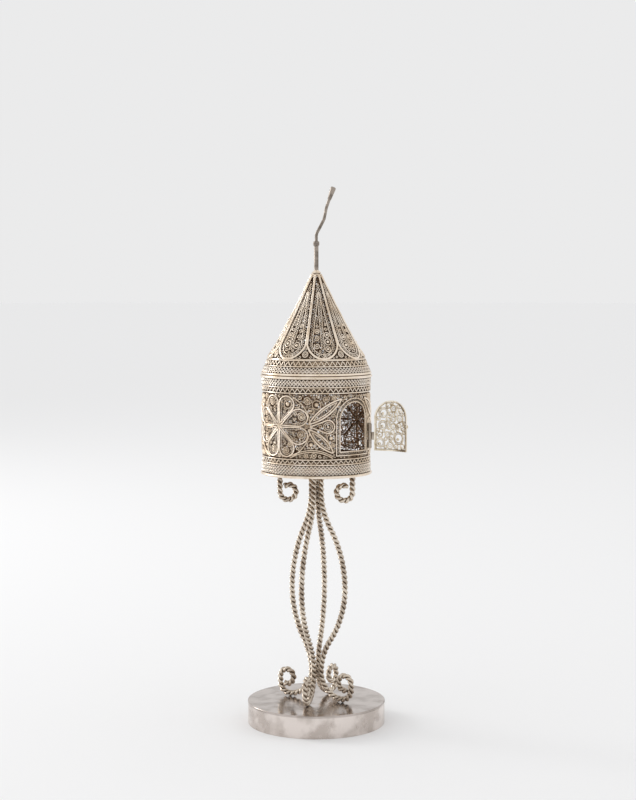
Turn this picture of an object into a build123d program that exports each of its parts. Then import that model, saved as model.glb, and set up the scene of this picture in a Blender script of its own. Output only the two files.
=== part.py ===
import os
from math import asin, atan, ceil, cos, degrees, radians, sin, sqrt

from build123d import *

os.makedirs("parts", exist_ok=True)

# A filigree spice tower. The little door faces -Y, +Z is up and the origin is the middle of the underside.
# Bearings are degrees from the middle of the doorway, counted to the right as seen from outside.

# Round base: a top plate soldered on a rim band, closed below by a floor plate
BASE_DIAMETER = 44.8
BASE_HEIGHT = 7.3
BASE_PLATE = 0.7
BASE_RIM_SHEET = 0.8
BASE_FLOOR_SHEET = 0.6
BASE_OVERHANG = 0.12

# Legs: a twisted pair of wires, bunched at both necks and bowed out between them
LEG_WIRE = 2.05
LEG_NECK_RADIUS = 1.64
LEG_BOW_HEIGHT = 44.0
LEG_UPPER_NECK_HEIGHT = 75.8
LEG_NECK_SHARE = 0.38
FOOT_SWEEP_RADIUS = 8.0
FOOT_RISE_RADIUS = 3.4
FOOT_RISE_LENGTH = 2.0
FOOT_CURL_RADIUS = 2.4
FOOT_CURL_TURN = 270.0
SCROLL_BEND_RADIUS = 3.0
SCROLL_DROP_RADIUS = 2.0
SCROLL_REACH = 11.9
SCROLL_HEIGHT = 75.4
SCROLL_LOOP_RADIUS = 2.6
SCROLL_INNER_RADIUS = 2.3
SCROLL_INNER_TURN = 110.0

# Each leg: direction of its bow, radius of its bow, direction of its foot, direction of its upper scroll
LEGS = {
    "leg_right": (-61.0, 9.7, -76.0, -54.0),
    "leg_back": (28.0, 8.6, 14.0, None),
    "leg_left": (116.0, 8.4, 110.0, 134.0),
    "leg_front": (194.0, 8.9, 212.0, None),
}

# Drum: an openwork wall with wires, bands and panels soldered round its outside
DRUM_DIAMETER = 35.6
DRUM_BOTTOM = 81.6
WALL_THICKNESS = 0.35
TRIM_DEPTH = 0.68
FLOOR_RECESS = 1.8
FLOOR_THICKNESS = 0.6
SOLDER_GAP = 0.02
RIM_WIRE = 0.9
RING_WIRE = 0.42
LOWER_BAND_HEIGHT = 3.2
LOWER_ZIGZAG_HEIGHT = 1.25
PANEL_HEIGHT = 20.5
UPPER_ZIGZAG_HEIGHT = 1.4
UPPER_BAND_HEIGHT = 2.3
BAND_DEPTH = 0.5
ZIGZAG_DEPTH = 0.4
WALL_OPENING_COLUMNS = 18
WALL_OPENING_ROWS = 4
WALL_BAR = 2.0

# Panels on the drum: rosettes of eight petals, and pairs of pointed leaves beside them
ROSETTE_BEARING = 86.0
ROSETTE_RADIUS = 10.2
ROSETTE_PETALS = 8
ROSETTE_GAP_ANGLE = 0.7
ROSETTE_BOSS_RADIUS = 0.9
FRAME_WIRE = 0.5
LEAF_NEAR_X = 4.3
UPPER_LEAF_FAR_X = 7.0
UPPER_LEAF_RISE = 9.0
LOWER_LEAF_FAR_X = 4.2
LOWER_LEAF_RISE = 8.6
LEAF_WIDTH = 3.2
LEAF_GAP = 0.5
LEAF_RING_RADIUS = 2.2
LEAF_RING_X = 2.2
LEAF_BEARING = 39.0
LEAF_BACK_BEARING = 133.0

# Doorway and the door that closes over its frame
DOORWAY_HALF_ANGLE = 17.5
DOORWAY_SILL = 2.41
DOORWAY_HEIGHT = 15.2
DOORWAY_ARCH_RISE = 5.6
DOOR_FRAME_WIDTH = 1.6
DOOR_FRAME_OUTER_RISE = 6.6
DOOR_OVERLAP = 0.45
DOOR_GAP = 0.2
DOOR_RIM_WIDTH = 0.45
DOOR_RIM_THICKNESS = 0.7
DOOR_PANEL_THICKNESS = 0.3
DOOR_REST_OPENING = 103.0
KNOB_RADIUS = 0.75
KNOB_PEG_RADIUS = 0.3
KNOB_PEG_LENGTH = 0.5
KNOB_RISE = 7.4
KNOB_INSET = 1.4

# Hinge at the right jamb
HINGE_BEARING = 23.4
HINGE_RISE = 0.3
JAMB_KNUCKLE_LENGTH = 2.45
DOOR_KNUCKLE_LENGTH = 2.5
KNUCKLE_GAP = 0.12
KNUCKLE_RADIUS = 0.6
PIN_RADIUS = 0.3
PIN_HEAD_RADIUS = 0.5
PIN_HEAD_LENGTH = 0.3
RUNNING_CLEARANCE = 0.05
KNUCKLE_OFF_WALL = 0.12
LEAF_PLATE = 0.28
JAMB_LEAF_WIDTH = 1.5
STRAP_LENGTH = 2.2

# Roof: a ribbed skirt, a zigzag row and a cone carrying eight petals
ROOF_SEAM_GAP = 0.1
ROOF_WALL = 0.35
ROOF_EDGE_WIRE = 0.8
SKIRT_TOP_RADIUS = 16.9
SKIRT_HEIGHT = 2.17
ZIGZAG_TOP_RADIUS = 16.2
ROOF_ZIGZAG_HEIGHT = 1.9
CONE_FOOT_RADIUS = 16.1
CONE_SEAT_HEIGHT = 0.25
CONE_TOP_RADIUS = 1.6
CONE_HEIGHT = 27.25
CONE_DIP = 0.35
PETAL_COUNT = 8
PETAL_TURN = 10.0
PETAL_WIRE = 0.75
PETAL_DEPTH = 0.7
PETAL_GAP_ANGLE = 0.5
PETAL_LOBE_HEIGHT = 4.6
PETAL_TIP_DROP = 0.3
ROOF_OPENING_ROWS = 6
ROOF_BAR = 0.8
EYELET_RADIUS = 1.0
EYELET_WIRE = 0.35
EYELET_RISE = 1.6
EYELET_INSET = 0.3

# Finial: a cap, a sleeve, a collar and a bent wire with a thickened tip
CAP_RADIUS = 1.65
CAP_HEIGHT = 0.9
SLEEVE_RADIUS = 0.72
SLEEVE_LENGTH = 7.66
COLLAR_RADIUS = 1.0
COLLAR_HEIGHT = 1.6
FINIAL_WIRE_RADIUS = 0.5
FINIAL_BEND_RADIUS = 3.0
FINIAL_LEAN_BEARING = -44.0
FINIAL_PATH = ((0.0, 3.8), (2.5, 8.6), (3.2, 12.2), (4.15, 14.9))
TIP_FOOT_RADIUS = 0.6
TIP_RADIUS = 0.95
TIP_LENGTH = 4.2

# Sizes that follow from the ones above
BASE_RADIUS = BASE_DIAMETER / 2
RIM_RADIUS = BASE_RADIUS - BASE_OVERHANG
DRUM_RADIUS = DRUM_DIAMETER / 2
TRIM_INNER = DRUM_RADIUS - TRIM_DEPTH
WALL_OUTER = TRIM_INNER - SOLDER_GAP
WALL_INNER = WALL_OUTER - WALL_THICKNESS
FLOOR_BOTTOM = DRUM_BOTTOM + FLOOR_RECESS
LOWER_BAND_Z = DRUM_BOTTOM + RIM_WIRE
LOWER_WIRE_Z = LOWER_BAND_Z + LOWER_BAND_HEIGHT
LOWER_ZIGZAG_Z = LOWER_WIRE_Z + RING_WIRE
PANEL_WIRE_Z = LOWER_ZIGZAG_Z + LOWER_ZIGZAG_HEIGHT
PANEL_Z = PANEL_WIRE_Z + RING_WIRE
PANEL_TOP = PANEL_Z + PANEL_HEIGHT
UPPER_ZIGZAG_Z = PANEL_TOP + RING_WIRE
UPPER_WIRE_Z = UPPER_ZIGZAG_Z + UPPER_ZIGZAG_HEIGHT
UPPER_BAND_Z = UPPER_WIRE_Z + RING_WIRE
RIM_WIRE_Z = UPPER_BAND_Z + UPPER_BAND_HEIGHT
DRUM_TOP = RIM_WIRE_Z + RIM_WIRE
PANEL_MIDDLE = PANEL_Z + PANEL_HEIGHT / 2
DOORWAY_BOTTOM = PANEL_Z + DOORWAY_SILL
DOORWAY_TOP = DOORWAY_BOTTOM + DOORWAY_HEIGHT
KNOB_Z = DOORWAY_BOTTOM + KNOB_RISE
HINGE_BOTTOM = DOORWAY_BOTTOM + HINGE_RISE
DOOR_INNER = DRUM_RADIUS + DOOR_GAP
DOOR_OUTER = DOOR_INNER + DOOR_RIM_THICKNESS
DOORWAY_HALF_WIDTH = DRUM_RADIUS * sin(radians(DOORWAY_HALF_ANGLE))
DOOR_HALF_WIDTH = DOORWAY_HALF_WIDTH + DOOR_OVERLAP
DOOR_FRAME_ANGLE = degrees(DOOR_FRAME_WIDTH / DRUM_RADIUS)
HINGE_RADIUS = DRUM_RADIUS + KNUCKLE_OFF_WALL + KNUCKLE_RADIUS
HINGE_LENGTH = 2 * JAMB_KNUCKLE_LENGTH + DOOR_KNUCKLE_LENGTH + 2 * KNUCKLE_GAP
HINGE_X = HINGE_RADIUS * sin(radians(HINGE_BEARING))
HINGE_Y = -HINGE_RADIUS * cos(radians(HINGE_BEARING))
ROOF_Z = DRUM_TOP + ROOF_SEAM_GAP
SKIRT_Z = ROOF_Z + ROOF_EDGE_WIRE
SKIRT_TOP = SKIRT_Z + SKIRT_HEIGHT
ROOF_ZIGZAG_TOP = SKIRT_TOP + ROOF_ZIGZAG_HEIGHT
CONE_FOOT = ROOF_ZIGZAG_TOP + CONE_SEAT_HEIGHT
CONE_TOP = CONE_FOOT + CONE_HEIGHT
SLEEVE_BOTTOM = CONE_TOP + CAP_HEIGHT + 2 * SOLDER_GAP
SLEEVE_TOP = SLEEVE_BOTTOM + SLEEVE_LENGTH


def facing(bearing, height=0.0):
    """Upright plane through the axis that looks outward at a bearing, with its x to the right."""
    turn = radians(bearing)
    return Plane(
        origin=(0, 0, height),
        x_dir=(cos(turn), sin(turn), 0),
        z_dir=(sin(turn), -cos(turn), 0),
    )


def level(bearing, height):
    """Level plane at a height, with its x to the right and its y inward at a bearing."""
    turn = radians(bearing)
    return Plane(origin=(0, 0, height), x_dir=(cos(turn), sin(turn), 0), z_dir=(0, 0, 1))


def upright(direction, neck):
    """Upright plane whose x runs outward from a neck point in a direction given in degrees."""
    turn = radians(direction)
    return Plane(
        origin=neck,
        x_dir=(cos(turn), sin(turn), 0),
        z_dir=(sin(turn), -cos(turn), 0),
    )


def swung(plane, opening):
    """The same plane carried round the hinge by the angle the door stands open."""
    turn = radians(opening)
    offset_x = -HINGE_X
    offset_y = -HINGE_Y
    origin = (
        HINGE_X + offset_x * cos(turn) - offset_y * sin(turn),
        HINGE_Y + offset_x * sin(turn) + offset_y * cos(turn),
        0,
    )
    carried = Plane(origin=origin, x_dir=(cos(turn), sin(turn), 0), z_dir=(0, 0, 1))
    return Plane(carried.location * plane.location)


def export(piece, name):
    """Label a finished piece and write it to its own file."""
    piece.part.label = name
    export_step(piece.part, "parts/" + name + ".step")


def ring(name, inner, outer, bottom, height):
    """Flat-sided ring round the axis."""
    with BuildPart() as piece:
        with BuildSketch(Plane.XZ):
            with Locations(((inner + outer) / 2, bottom + height / 2)):
                Rectangle(outer - inner, height)
        revolve(axis=Axis.Z)
    export(piece, name)


def round_ring(name, radius, bottom, wire):
    """Ring of round wire lying round the axis."""
    with BuildPart() as piece:
        with BuildSketch(Plane.XZ):
            with Locations((radius, bottom + wire / 2)):
                Circle(wire / 2)
        revolve(axis=Axis.Z)
    export(piece, name)


def arch(half_width, bottom, top, rise):
    """Face of an arched opening."""
    with BuildSketch() as outline:
        with BuildLine():
            spring = top - rise
            sill = Line((-half_width, bottom), (half_width, bottom))
            right = Line(sill @ 1, (half_width, spring))
            crown = ThreePointArc(right @ 1, (0, top), (-half_width, spring))
            Line(crown @ 1, sill @ 0)
        make_face()
    return outline.sketch


def leaf(start, end, width):
    """Face of a pointed leaf between two points."""
    run_x = end[0] - start[0]
    run_y = end[1] - start[1]
    length = sqrt(run_x ** 2 + run_y ** 2)
    middle_x = (start[0] + end[0]) / 2
    middle_y = (start[1] + end[1]) / 2
    side_x = -run_y / length * width / 2
    side_y = run_x / length * width / 2
    with BuildSketch() as outline:
        with BuildLine():
            ThreePointArc(start, (middle_x + side_x, middle_y + side_y), end)
            ThreePointArc(end, (middle_x - side_x, middle_y - side_y), start)
        make_face()
    return outline.sketch


# Base
with BuildPart() as base_top_plate:
    with Locations((0, 0, BASE_HEIGHT - BASE_PLATE)):
        Cylinder(BASE_RADIUS, BASE_PLATE, align=(Align.CENTER, Align.CENTER, Align.MIN))
    fillet(base_top_plate.edges().filter_by(GeomType.CIRCLE).group_by(Axis.Z)[-1], BASE_PLATE * 0.35)
export(base_top_plate, "base_top_plate")

ring("base_rim_band", RIM_RADIUS - BASE_RIM_SHEET, RIM_RADIUS, 0, BASE_HEIGHT - BASE_PLATE)

with BuildPart() as base_floor_plate:
    Cylinder(
        RIM_RADIUS - BASE_RIM_SHEET - SOLDER_GAP,
        BASE_FLOOR_SHEET,
        align=(Align.CENTER, Align.CENTER, Align.MIN),
    )
export(base_floor_plate, "base_floor_plate")

# Legs
FOOT_Z = BASE_HEIGHT + LEG_WIRE / 2
LOWER_NECK_Z = FOOT_Z + FOOT_SWEEP_RADIUS
SCROLL_RUN_Z = FLOOR_BOTTOM - LEG_WIRE / 2
for leg_name, (bow_direction, bow_radius, foot_direction, scroll_direction) in LEGS.items():
    neck = (
        LEG_NECK_RADIUS * cos(radians(bow_direction)),
        LEG_NECK_RADIUS * sin(radians(bow_direction)),
        0,
    )
    bow_depth = bow_radius - LEG_NECK_RADIUS
    lower_rise = LEG_BOW_HEIGHT - LOWER_NECK_Z
    upper_rise = LEG_UPPER_NECK_HEIGHT - LEG_BOW_HEIGHT
    lower_turn = 2 * atan(bow_depth / lower_rise)
    upper_turn = 2 * atan(bow_depth / upper_rise)
    lower_radii = lower_rise / sin(lower_turn)
    upper_radii = upper_rise / sin(upper_turn)
    with BuildPart() as leg_piece:
        with BuildLine(upright(foot_direction, neck)) as foot_line:
            sweep_arc = JernArc((0, LOWER_NECK_Z), (0, -1), FOOT_SWEEP_RADIUS, 90)
            rise_arc = JernArc(sweep_arc @ 1, sweep_arc % 1, FOOT_RISE_RADIUS, 90)
            rise = PolarLine(rise_arc @ 1, FOOT_RISE_LENGTH, 90)
            curl = JernArc(rise @ 1, rise % 1, FOOT_CURL_RADIUS, FOOT_CURL_TURN)
        with BuildLine(upright(bow_direction, neck)) as bow_line:
            out_low = JernArc(
                (0, LOWER_NECK_Z), (0, 1), lower_radii * LEG_NECK_SHARE, -degrees(lower_turn)
            )
            in_low = JernArc(
                out_low @ 1, out_low % 1, lower_radii * (1 - LEG_NECK_SHARE), degrees(lower_turn)
            )
            in_high = JernArc(
                in_low @ 1, (0, 1), upper_radii * (1 - LEG_NECK_SHARE), degrees(upper_turn)
            )
            out_high = JernArc(
                in_high @ 1, in_high % 1, upper_radii * LEG_NECK_SHARE, -degrees(upper_turn)
            )
            if scroll_direction is None:
                Line((0, LEG_UPPER_NECK_HEIGHT), (0, FLOOR_BOTTOM))
            else:
                Line((0, LEG_UPPER_NECK_HEIGHT), (0, SCROLL_RUN_Z - SCROLL_BEND_RADIUS))
        if scroll_direction is not None:
            with BuildLine(upright(scroll_direction, neck)) as scroll_line:
                bend = JernArc((0, SCROLL_RUN_Z - SCROLL_BEND_RADIUS), (0, 1), SCROLL_BEND_RADIUS, -90)
                run = Line(bend @ 1, (SCROLL_REACH - LEG_NECK_RADIUS - SCROLL_DROP_RADIUS, SCROLL_RUN_Z))
                drop = JernArc(run @ 1, (1, 0), SCROLL_DROP_RADIUS, -90)
                hang = Line(drop @ 1, (SCROLL_REACH - LEG_NECK_RADIUS, SCROLL_HEIGHT))
                loop = JernArc(hang @ 1, (0, -1), SCROLL_LOOP_RADIUS, -180)
                JernArc(loop @ 1, loop % 1, SCROLL_INNER_RADIUS, -SCROLL_INNER_TURN)
        with BuildSketch(Plane(origin=curl @ 1, z_dir=curl % 1)):
            Circle(LEG_WIRE / 2)
        sweep()
    export(leg_piece, leg_name)

# Drum floor, and the wall with a grid of openings behind the panels
with BuildPart() as drum_floor:
    with Locations((0, 0, FLOOR_BOTTOM)):
        Cylinder(
            WALL_INNER - SOLDER_GAP, FLOOR_THICKNESS, align=(Align.CENTER, Align.CENTER, Align.MIN)
        )
export(drum_floor, "drum_floor")

with BuildPart() as drum_wall:
    with BuildSketch(Plane.XZ):
        with Locations(((WALL_INNER + WALL_OUTER) / 2, (DRUM_BOTTOM + DRUM_TOP) / 2)):
            Rectangle(WALL_OUTER - WALL_INNER, DRUM_TOP - DRUM_BOTTOM)
    revolve(axis=Axis.Z)
    with BuildSketch(facing(0)):
        add(arch(DOORWAY_HALF_WIDTH, DOORWAY_BOTTOM, DOORWAY_TOP, DOORWAY_ARCH_RISE))
    extrude(amount=DRUM_RADIUS, mode=Mode.SUBTRACT)
    column_turn = 360 / WALL_OPENING_COLUMNS
    column_width = 2 * WALL_OUTER * sin(radians(column_turn / 2)) - WALL_BAR
    row_height = PANEL_HEIGHT / WALL_OPENING_ROWS
    columns_at_door = ceil((DOORWAY_HALF_ANGLE + DOOR_FRAME_ANGLE) / column_turn)
    for column in range(columns_at_door, WALL_OPENING_COLUMNS - columns_at_door + 1):
        with BuildSketch(facing(column * column_turn, PANEL_MIDDLE)):
            with GridLocations(0, row_height, 1, WALL_OPENING_ROWS):
                Rectangle(column_width, row_height - WALL_BAR)
        extrude(amount=DRUM_RADIUS, mode=Mode.SUBTRACT)
export(drum_wall, "drum_wall")

# Wires and bands round the drum
rim_middle = TRIM_INNER + RIM_WIRE / 2
wire_middle = TRIM_INNER + RING_WIRE / 2
round_ring("drum_foot_wire", rim_middle, DRUM_BOTTOM, RIM_WIRE)
ring("lower_ribbed_band", TRIM_INNER, TRIM_INNER + BAND_DEPTH, LOWER_BAND_Z, LOWER_BAND_HEIGHT)
round_ring("lower_ring_wire", wire_middle, LOWER_WIRE_Z, RING_WIRE)
round_ring("panel_foot_wire", wire_middle, PANEL_WIRE_Z, RING_WIRE)
round_ring("panel_top_wire", wire_middle, PANEL_TOP, RING_WIRE)
round_ring("upper_ring_wire", wire_middle, UPPER_WIRE_Z, RING_WIRE)
ring("upper_ribbed_band", TRIM_INNER, TRIM_INNER + BAND_DEPTH, UPPER_BAND_Z, UPPER_BAND_HEIGHT)
round_ring("drum_rim_wire", rim_middle, RIM_WIRE_Z, RIM_WIRE)

# Zigzag rows: crimped wire standing between two ring wires
ring("lower_zigzag", TRIM_INNER, TRIM_INNER + ZIGZAG_DEPTH, LOWER_ZIGZAG_Z, LOWER_ZIGZAG_HEIGHT)
ring("upper_zigzag", TRIM_INNER, TRIM_INNER + ZIGZAG_DEPTH, UPPER_ZIGZAG_Z, UPPER_ZIGZAG_HEIGHT)

# Rosettes
petal_half_angle = radians(180 / ROSETTE_PETALS - ROSETTE_GAP_ANGLE)
petal_middle = ROSETTE_RADIUS / (1 + sin(petal_half_angle))
petal_round = petal_middle * sin(petal_half_angle)
petal_side = petal_middle * cos(petal_half_angle)
side_x = petal_side * cos(petal_half_angle)
side_y = petal_side * sin(petal_half_angle)
with BuildSketch() as rosette_petal:
    with BuildLine():
        rib = Line((0, 0), (side_x, side_y))
        crown = ThreePointArc(rib @ 1, (ROSETTE_RADIUS, 0), (side_x, -side_y))
        Line(crown @ 1, rib @ 0)
    make_face()
    offset(amount=-FRAME_WIRE, mode=Mode.SUBTRACT)
for rosette_name, rosette_bearing in (
    ("rosette_left", -ROSETTE_BEARING),
    ("rosette_back", 180.0),
    ("rosette_right", ROSETTE_BEARING),
):
    with BuildPart() as rosette:
        with BuildSketch(facing(rosette_bearing, PANEL_MIDDLE)):
            with PolarLocations(0, ROSETTE_PETALS, start_angle=180 / ROSETTE_PETALS):
                add(rosette_petal.sketch)
            Circle(ROSETTE_BOSS_RADIUS + LEAF_GAP, mode=Mode.SUBTRACT)
            Circle(ROSETTE_BOSS_RADIUS)
        extrude(amount=DRUM_DIAMETER)
        Cylinder(DRUM_RADIUS, 4 * DRUM_TOP, mode=Mode.INTERSECT)
        Cylinder(TRIM_INNER, 4 * DRUM_TOP, mode=Mode.SUBTRACT)
    export(rosette, rosette_name)

# Leaf pairs: two pointed leaves that spread from the edge of a rosette, with a ring between them
for pair_name, pair_bearing, side in (
    ("leaf_pair_front_left", -LEAF_BEARING, 1),
    ("leaf_pair_front_right", LEAF_BEARING, -1),
    ("leaf_pair_back_left", -LEAF_BACK_BEARING, -1),
    ("leaf_pair_back_right", LEAF_BACK_BEARING, 1),
):
    with BuildPart() as leaf_pair:
        with BuildSketch(facing(pair_bearing, PANEL_MIDDLE)):
            near_x = -side * LEAF_NEAR_X
            add(leaf((near_x, LEAF_GAP), (side * UPPER_LEAF_FAR_X, UPPER_LEAF_RISE), LEAF_WIDTH))
            add(leaf((near_x, -LEAF_GAP), (side * LOWER_LEAF_FAR_X, -LOWER_LEAF_RISE), LEAF_WIDTH))
            with Locations((side * LEAF_RING_X, 0)):
                Circle(LEAF_RING_RADIUS)
            offset(amount=-FRAME_WIRE, mode=Mode.SUBTRACT)
        extrude(amount=DRUM_DIAMETER)
        Cylinder(DRUM_RADIUS, 4 * DRUM_TOP, mode=Mode.INTERSECT)
        Cylinder(TRIM_INNER, 4 * DRUM_TOP, mode=Mode.SUBTRACT)
    export(leaf_pair, pair_name)

# Door frame round the doorway
with BuildPart() as door_frame:
    with BuildSketch(facing(0)):
        add(
            arch(
                DOORWAY_HALF_WIDTH + DOOR_FRAME_WIDTH,
                DOORWAY_BOTTOM - DOOR_FRAME_WIDTH,
                DOORWAY_TOP + DOOR_FRAME_WIDTH,
                DOOR_FRAME_OUTER_RISE,
            )
        )
    extrude(amount=DRUM_DIAMETER)
    with BuildSketch(facing(0)):
        add(arch(DOORWAY_HALF_WIDTH, DOORWAY_BOTTOM, DOORWAY_TOP, DOORWAY_ARCH_RISE))
    extrude(amount=DRUM_DIAMETER, mode=Mode.SUBTRACT)
    Cylinder(DRUM_RADIUS, 4 * DRUM_TOP, mode=Mode.INTERSECT)
    Cylinder(TRIM_INNER, 4 * DRUM_TOP, mode=Mode.SUBTRACT)
export(door_frame, "door_frame")

# Hinge: two knuckles on the jamb, one on the door, and the pin through all three
door_knuckle_z = HINGE_BOTTOM + JAMB_KNUCKLE_LENGTH + KNUCKLE_GAP
upper_knuckle_z = door_knuckle_z + DOOR_KNUCKLE_LENGTH + KNUCKLE_GAP
for knuckle_name, knuckle_z in (
    ("jamb_knuckle_lower", HINGE_BOTTOM),
    ("jamb_knuckle_upper", upper_knuckle_z),
):
    with BuildPart() as jamb_knuckle:
        with BuildSketch(level(HINGE_BEARING, knuckle_z)):
            with Locations((0, -HINGE_RADIUS)):
                Circle(KNUCKLE_RADIUS)
            with Locations((JAMB_LEAF_WIDTH / 2, -DRUM_RADIUS - SOLDER_GAP - LEAF_PLATE / 2)):
                Rectangle(JAMB_LEAF_WIDTH, LEAF_PLATE)
            with Locations((0, -HINGE_RADIUS)):
                Circle(PIN_RADIUS + SOLDER_GAP, mode=Mode.SUBTRACT)
        extrude(amount=JAMB_KNUCKLE_LENGTH)
    export(jamb_knuckle, knuckle_name)

with BuildPart() as hinge_pin:
    with Locations((HINGE_X, HINGE_Y, HINGE_BOTTOM)):
        Cylinder(PIN_RADIUS, HINGE_LENGTH, align=(Align.CENTER, Align.CENTER, Align.MIN))
    with Locations((HINGE_X, HINGE_Y, HINGE_BOTTOM + HINGE_LENGTH)):
        Cylinder(PIN_HEAD_RADIUS, PIN_HEAD_LENGTH, align=(Align.CENTER, Align.CENTER, Align.MIN))
export(hinge_pin, "hinge_pin")

# Door, standing open
DOOR_BOTTOM = DOORWAY_BOTTOM - DOOR_OVERLAP
DOOR_TOP = DOORWAY_TOP + DOOR_OVERLAP
DOOR_ARCH_RISE = DOORWAY_ARCH_RISE + DOOR_OVERLAP / 2
door_plane = swung(Plane.XY, DOOR_REST_OPENING)
door_face = swung(facing(0), DOOR_REST_OPENING)
with BuildPart(door_plane) as door_rim:
    with BuildSketch(door_face):
        add(arch(DOOR_HALF_WIDTH, DOOR_BOTTOM, DOOR_TOP, DOOR_ARCH_RISE))
        offset(amount=-DOOR_RIM_WIDTH, mode=Mode.SUBTRACT)
    extrude(amount=DRUM_DIAMETER)
    Cylinder(DOOR_OUTER, 4 * DRUM_TOP, mode=Mode.INTERSECT)
    Cylinder(DOOR_INNER, 4 * DRUM_TOP, mode=Mode.SUBTRACT)
export(door_rim, "door_rim")

panel_inner = (DOOR_INNER + DOOR_OUTER - DOOR_PANEL_THICKNESS) / 2
panel_outer = panel_inner + DOOR_PANEL_THICKNESS
with BuildPart(door_plane) as door_panel:
    with BuildSketch(door_face):
        add(arch(DOOR_HALF_WIDTH, DOOR_BOTTOM, DOOR_TOP, DOOR_ARCH_RISE))
        offset(amount=-DOOR_RIM_WIDTH - SOLDER_GAP, mode=Mode.REPLACE)
    extrude(amount=DRUM_DIAMETER)
    Cylinder(panel_outer, 4 * DRUM_TOP, mode=Mode.INTERSECT)
    Cylinder(panel_inner, 4 * DRUM_TOP, mode=Mode.SUBTRACT)
export(door_panel, "door_panel")

strap_middle = DOOR_OUTER + SOLDER_GAP + LEAF_PLATE / 2
with BuildPart() as door_knuckle:
    hinge_plane = level(HINGE_BEARING, door_knuckle_z)
    with BuildSketch(swung(hinge_plane, DOOR_REST_OPENING)):
        with Locations((0, -HINGE_RADIUS)):
            Circle(KNUCKLE_RADIUS)
        with Locations((-STRAP_LENGTH / 2, -strap_middle)):
            Rectangle(STRAP_LENGTH, LEAF_PLATE)
        with Locations((0, -HINGE_RADIUS)):
            Circle(PIN_RADIUS + RUNNING_CLEARANCE, mode=Mode.SUBTRACT)
    extrude(amount=DOOR_KNUCKLE_LENGTH)
export(door_knuckle, "door_knuckle")

knob_bearing = -degrees(asin((DOOR_HALF_WIDTH - KNOB_INSET) / panel_outer))
peg_plane = facing(knob_bearing, KNOB_Z).offset(panel_outer + SOLDER_GAP)
ball_plane = peg_plane.offset(KNOB_PEG_LENGTH + KNOB_RADIUS * 0.8)
with BuildPart() as door_knob:
    with BuildSketch(swung(peg_plane, DOOR_REST_OPENING)):
        Circle(KNOB_PEG_RADIUS)
    extrude(amount=KNOB_PEG_LENGTH)
    with Locations(swung(ball_plane, DOOR_REST_OPENING)):
        Sphere(KNOB_RADIUS)
export(door_knob, "door_knob")

# Roof: the shell with openings inside its petals, then the wires, bands and petals soldered on it
def cone_radius(height):
    """Radius of the outside of the cone at a height, with its slight inward dip."""
    share = (height - CONE_FOOT) / CONE_HEIGHT
    straight = CONE_FOOT_RADIUS + (CONE_TOP_RADIUS - CONE_FOOT_RADIUS) * share
    return straight - 4 * CONE_DIP * share * (1 - share)


SHELL_INSET = PETAL_DEPTH + SOLDER_GAP
cone_middle = CONE_FOOT + CONE_HEIGHT / 2
skirt_low = (DRUM_RADIUS, SKIRT_Z)
skirt_high = (SKIRT_TOP_RADIUS, SKIRT_TOP)
zigzag_high = (ZIGZAG_TOP_RADIUS, ROOF_ZIGZAG_TOP)
cone_low = (CONE_FOOT_RADIUS, CONE_FOOT)
cone_mid = (cone_radius(cone_middle), cone_middle)
cone_high = (CONE_TOP_RADIUS, CONE_TOP)
petal_half_turn = radians(180 / PETAL_COUNT - PETAL_GAP_ANGLE)
lobe_top = CONE_FOOT + PETAL_LOBE_HEIGHT
tip_height = CONE_TOP - PETAL_TIP_DROP
side_height = (lobe_top + tip_height) / 2
petal_foot = (0, CONE_FOOT + SOLDER_GAP)
petal_tip = ((cone_radius(tip_height) - PETAL_DEPTH) * sin(petal_half_turn), tip_height)
petal_side = ((cone_radius(side_height) - PETAL_DEPTH) * sin(petal_half_turn), side_height)
petal_lobe = ((cone_radius(lobe_top) - PETAL_DEPTH) * sin(petal_half_turn), lobe_top)


def inset(point, depth):
    """A point of the roof profile moved towards the axis."""
    return (point[0] - depth, point[1])


def mirrored(point):
    """A point of a petal outline carried over to its other side."""
    return (-point[0], point[1])


def petal_face():
    """Face of a roof petal, pointed above and round below."""
    with BuildSketch() as outline:
        with BuildLine():
            ThreePointArc(petal_tip, petal_side, petal_lobe)
            ThreePointArc(petal_lobe, petal_foot, mirrored(petal_lobe))
            ThreePointArc(mirrored(petal_lobe), mirrored(petal_side), mirrored(petal_tip))
            Line(mirrored(petal_tip), petal_tip)
        make_face()
    return outline.sketch


def along(low, high, height):
    """The point at a height on the straight part of the roof profile between two points."""
    share = (height - low[1]) / (high[1] - low[1])
    return (low[0] + (high[0] - low[0]) * share, height)


def sloping_band(name, low, high, depth):
    """Conical band round the roof between two profile points."""
    with BuildPart() as piece:
        with BuildSketch(Plane.XZ):
            with BuildLine():
                Polyline(
                    inset(low, SHELL_INSET - SOLDER_GAP),
                    inset(low, SHELL_INSET - SOLDER_GAP - depth),
                    inset(high, SHELL_INSET - SOLDER_GAP - depth),
                    inset(high, SHELL_INSET - SOLDER_GAP),
                    close=True,
                )
            make_face()
        revolve(axis=Axis.Z)
    export(piece, name)


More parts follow.
